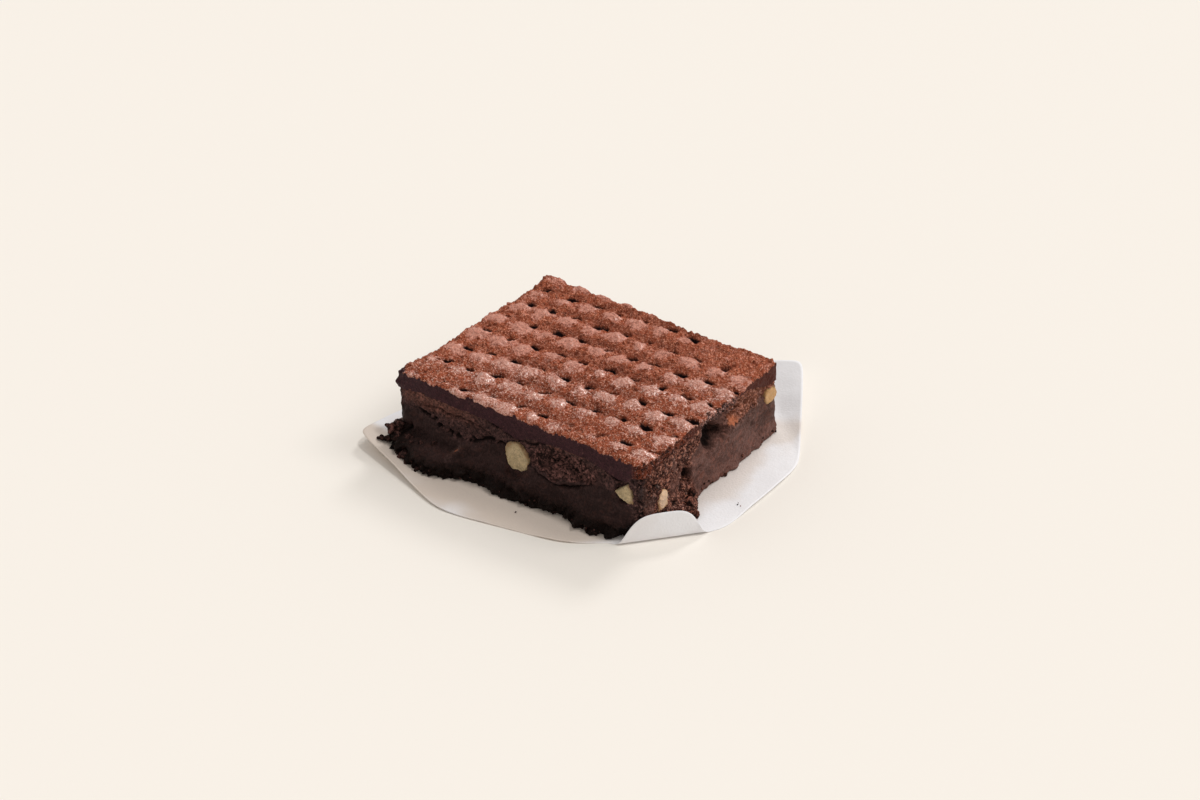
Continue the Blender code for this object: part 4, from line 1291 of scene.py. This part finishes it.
def cake_material(name, colours, grain):
    """Cut cake: porous crumb or smeared fudge, with painted shade: near black in pores and at the -Y side's
    foot, and darker over the whole -Y side.
    """
    material, tree, shader, place = make_material(name)
    grains = spread(tree, grain_mask(tree, grain, place, 950.0, 2100.0), 0.2, 0.8)
    patches = grain_mask(tree, grain, place, 260.0, 800.0)
    fine = grain_mask(tree, grain, place, 1300.0, 3600.0)
    crumb = crumb_tone(tree, colours, grains, patches, fine)
    fudge = fudge_tone(tree, colours, grains, patches, place)
    tone = blend(tree, mask(tree, "porous"), fudge, crumb)
    # Painted shade: the -Y side's foot and the ledge turn to dark crumbly tones.
    foot = spread(tree, mask(tree, "foot"), 0.2, 1.0)
    crumbly = blend(tree, grains, scaled(colours.crumb_dark, 0.5), scaled(colours.crumb_light, 0.6))
    tone = blend(tree, times(tree, foot, 0.8), tone, crumbly)
    tone = blend(tree, spread(tree, mask(tree, "torn"), 0.85, 1.0), tone, colours.toasted)
    # Painted shade: the -Y side, and the hidden sides in part, are multiplied by a dark tint.
    shade_tint = blend(tree, mask(tree, "porous"), colours.front_shade_tint, colours.front_crumb_shade_tint)
    painted_shade_tone = blend(tree, 1.0, tone, shade_tint, kind="MULTIPLY")
    tone = blend(tree, mask(tree, "front_shaded"), tone, painted_shade_tone)
    # Painted shade: near black at the foot of the -Y side.
    bottom = times(tree, foot, times(tree, mask(tree, "front_shaded"), 0.85))
    tone = blend(tree, bottom, tone, (0.006, 0.003, 0.002))
    # Painted shade: pores, cracks and hollows blend towards near black.
    painted_pore_shade = spread(tree, mask(tree, "painted_pore_shade"), 0.12, 0.9, 0.0, 0.93)
    tone = blend(tree, painted_pore_shade, tone, scaled(colours.crumb_dark, 0.10))
    sticky = times(tree, spread(tree, grains, 0.75, 1.0), mask(tree, "torn"))
    set_inputs(
        tree, shader, Base_Color=tone,
        Roughness=spread(tree, mask(tree, "porous"), 0.0, 1.0, 0.52, 0.75),
        Coat_Weight=times(tree, sticky, 0.8), Coat_Roughness=0.25, Specular_IOR_Level=0.10)
    add_bump(tree, shader, grains, GRAIN_BUMP)
    return material


def nut_material(colours, grain):
    """Cut nut: pale grainy flesh, browner towards its skin, and one of them amber."""
    material, tree, shader, place = make_material("chopped_nut")
    grains = grain_mask(tree, grain, place, 600.0, 2200.0)
    flesh = blend(tree, grains, scaled(colours.nut, 0.62), scaled(colours.nut, 1.05))
    cream = times(tree, mask(tree, "cream"), spread(tree, grains, 0.0, 1.0, 0.7, 1.0))
    flesh = blend(tree, cream, flesh, colours.nut_cream)
    flesh = blend(tree, times(tree, mask(tree, "amber"), 0.55), flesh, colours.nut_amber)
    uneven = swing(tree, grains, 0.7)
    edge = spread(tree, maths(tree, "ADD", mask(tree, "rim"), uneven), 0.45, 1.1, 0.0, 0.8)
    skin = blend(tree, mask(tree, "cream"), colours.nut_skin, scaled(colours.nut_amber, 0.7))
    set_inputs(
        tree, shader, Base_Color=blend(tree, edge, flesh, skin), Roughness=0.5,
        Specular_IOR_Level=0.25, Subsurface_Weight=0.12, Subsurface_Radius=(0.0012, 0.0009, 0.0005))
    add_bump(tree, shader, grains, NUT_BUMP)
    return material


def paper_material(colours, grain):
    """Greaseproof paper: white, softly fibrous, warmer where the cake's fat has soaked in and where a
    painted shadow lies in front of the cake's -Y side.
    """
    material, tree, shader, place = make_material("greaseproof_paper")
    fibres = grain_mask(tree, grain, place, 300.0, 1500.0)
    grease_and_shadow = spread(tree, mask(tree, "grease_and_shadow"), 0.0, 1.0, 0.0, 0.8)
    tone = blend(tree, grease_and_shadow, colours.paper, colours.paper_grease_and_shadow)
    tone = blend(tree, spread(tree, fibres, 0.0, 1.0, 0.0, 0.06), tone, (0.55, 0.52, 0.48))
    set_inputs(tree, shader, Base_Color=tone, Roughness=0.6, Specular_IOR_Level=0.25)
    add_bump(tree, shader, fibres, FIBRE_BUMP)
    return material


def plain_material(name, colour, roughness):
    """One even colour, for the studio floor."""
    material, tree, shader, _ = make_material(name)
    set_inputs(tree, shader, Base_Color=colour, Roughness=roughness)
    return material


# ---- Operators ------------------------------------------------------------------------------------

class BROWNIE_OT_icing(bpy.types.Operator):
    """Make the pressed, cocoa-dusted icing"""

    bl_idname = "brownie.icing"
    bl_label = "Icing"

    def execute(self, context):
        scene = context.scene
        make_icing(scene.brownie_sizes, icing_material(scene.brownie_colours, grain_group()))
        return {"FINISHED"}


class BROWNIE_OT_crumb(bpy.types.Operator):
    """Make the airy crumb layer and the crumbs that fell from it"""

    bl_idname = "brownie.crumb"
    bl_label = "Crumb"

    def execute(self, context):
        scene = context.scene
        material = cake_material("baked_crumb", scene.brownie_colours, grain_group())
        make_crumb(scene.brownie_sizes, material)
        make_chunks(material)
        make_loose_crumbs(scene.brownie_sizes, material)
        return {"FINISHED"}


class BROWNIE_OT_fudge(bpy.types.Operator):
    """Make the dense base with its ragged foot"""

    bl_idname = "brownie.fudge"
    bl_label = "Fudge base"

    def execute(self, context):
        scene = context.scene
        material = cake_material("dense_fudge", scene.brownie_colours, grain_group())
        make_fudge(scene.brownie_sizes, material)
        return {"FINISHED"}


class BROWNIE_OT_nuts(bpy.types.Operator):
    """Make every nut piece in its solid's place"""

    bl_idname = "brownie.nuts"
    bl_label = "Nuts"

    def execute(self, context):
        material = nut_material(context.scene.brownie_colours, grain_group())
        for seed, (node, (middle, half)) in enumerate(sorted(nut_places().items())):
            make_nut(node, middle, half, seed, material)
        return {"FINISHED"}


class BROWNIE_OT_paper(bpy.types.Operator):
    """Make the greaseproof paper"""

    bl_idname = "brownie.paper"
    bl_label = "Paper"

    def execute(self, context):
        scene = context.scene
        make_paper(scene.brownie_sizes, paper_material(scene.brownie_colours, grain_group()))
        return {"FINISHED"}


def direction(azimuth, elevation):
    """Unit vector to a place in the sky; azimuth is counted from +X towards +Y, in degrees."""
    turn, rise = math.radians(azimuth), math.radians(elevation)
    return Vector((math.cos(turn) * math.cos(rise), math.sin(turn) * math.cos(rise), math.sin(rise)))


def add_sun(name, azimuth, elevation, width, strength, colour):
    """A wide soft sun; width is its angle across in degrees."""
    light = bpy.data.lights.new(name, "SUN")
    light.angle = math.radians(width)
    light.energy = strength
    light.color = colour
    lamp = bpy.data.objects.new(name, light)
    lamp.rotation_euler = direction(azimuth, elevation).to_track_quat("Z", "Y").to_euler()
    bpy.context.scene.collection.objects.link(lamp)


def make_floor(colour):
    """The studio floor, which is not part of the cake."""
    mesh = bpy.data.meshes.new("floor")
    corners = [(x * FLOOR_REACH, y * FLOOR_REACH, 0.0) for x, y in ((-1, -1), (1, -1), (1, 1), (-1, 1))]
    mesh.from_pydata(corners, [], [(0, 1, 2, 3)])
    mesh.materials.append(plain_material("floor", colour, 0.9))
    floor = bpy.data.objects.new("floor", mesh)
    bpy.context.scene.collection.objects.link(floor)


def make_world():
    """Soft light from all round, and behind the cake a wall that only the camera sees."""
    world = bpy.data.worlds.new("studio")
    world.use_nodes = True
    tree = world.node_tree
    ambient = tree.nodes["Background"]
    set_inputs(tree, ambient, Color=AMBIENT_COLOUR, Strength=AMBIENT_STRENGTH)
    wall = new_node(tree, "ShaderNodeBackground", Color=WALL_COLOUR, Strength=1.0)
    seen = tree.nodes.new("ShaderNodeLightPath").outputs["Is Camera Ray"]
    both = tree.nodes.new("ShaderNodeMixShader")
    for value, socket in zip((seen, ambient.outputs[0], wall.outputs[0]), both.inputs):
        tree.links.new(value, socket)
    tree.links.new(both.outputs[0], tree.nodes["World Output"].inputs["Surface"])
    bpy.context.scene.world = world


def make_camera():
    """The camera, standing off from the point that it aims at."""
    camera_data = bpy.data.cameras.new("camera")
    camera_data.sensor_width = CAMERA_SENSOR
    camera_data.lens = CAMERA_LENS
    camera_data.clip_start = CAMERA_CLIP
    camera = bpy.data.objects.new("camera", camera_data)
    back = direction(CAMERA_AZIMUTH, CAMERA_ELEVATION)
    camera.location = Vector(CAMERA_AIM) + back * CAMERA_DISTANCE
    camera.rotation_euler = back.to_track_quat("Z", "Y").to_euler()
    bpy.context.scene.collection.objects.link(camera)
    bpy.context.scene.camera = camera


class BROWNIE_OT_stage(bpy.types.Operator):
    """Make the floor, the soft lights and the camera"""

    bl_idname = "brownie.stage"
    bl_label = "Stage"

    def execute(self, context):
        scene = context.scene
        make_floor(scene.brownie_colours.floor)
        make_world()
        for name, sun in SUNS.items():
            add_sun(name, *sun)
        make_camera()
        scene.view_settings.view_transform = "Standard"
        scene.view_settings.look = "None"
        return {"FINISHED"}


class BROWNIE_PT_panel(bpy.types.Panel):
    """Sizes, colours and makers of the brownie"""

    bl_idname = "BROWNIE_PT_panel"
    bl_label = "Brownie"
    bl_space_type = "VIEW_3D"
    bl_region_type = "UI"
    bl_category = "Brownie"

    def draw(self, context):
        layout = self.layout
        for group in (context.scene.brownie_sizes, context.scene.brownie_colours):
            for name in group.__annotations__:
                layout.prop(group, name)
        for operator in OPERATORS:
            layout.operator(operator.bl_idname)


OPERATORS = (
    BROWNIE_OT_stage, BROWNIE_OT_icing, BROWNIE_OT_crumb,
    BROWNIE_OT_fudge, BROWNIE_OT_nuts, BROWNIE_OT_paper)
CLASSES = (CakeSizes, CakeColours, *OPERATORS, BROWNIE_PT_panel)


def register():
    """Make the add-on's classes and properties known."""
    for cls in CLASSES:
        bpy.utils.register_class(cls)
    bpy.types.Scene.brownie_sizes = PointerProperty(type=CakeSizes)
    bpy.types.Scene.brownie_colours = PointerProperty(type=CakeColours)


def unregister():
    """Forget them again."""
    del bpy.types.Scene.brownie_colours
    del bpy.types.Scene.brownie_sizes
    for cls in reversed(CLASSES):
        bpy.utils.unregister_class(cls)


def main():
    """Build the whole scene."""
    register()
    bpy.ops.brownie.stage()
    bpy.ops.brownie.icing()
    bpy.ops.brownie.crumb()
    bpy.ops.brownie.fudge()
    bpy.ops.brownie.nuts()
    bpy.ops.brownie.paper()


if __name__ == "__main__":
    main()
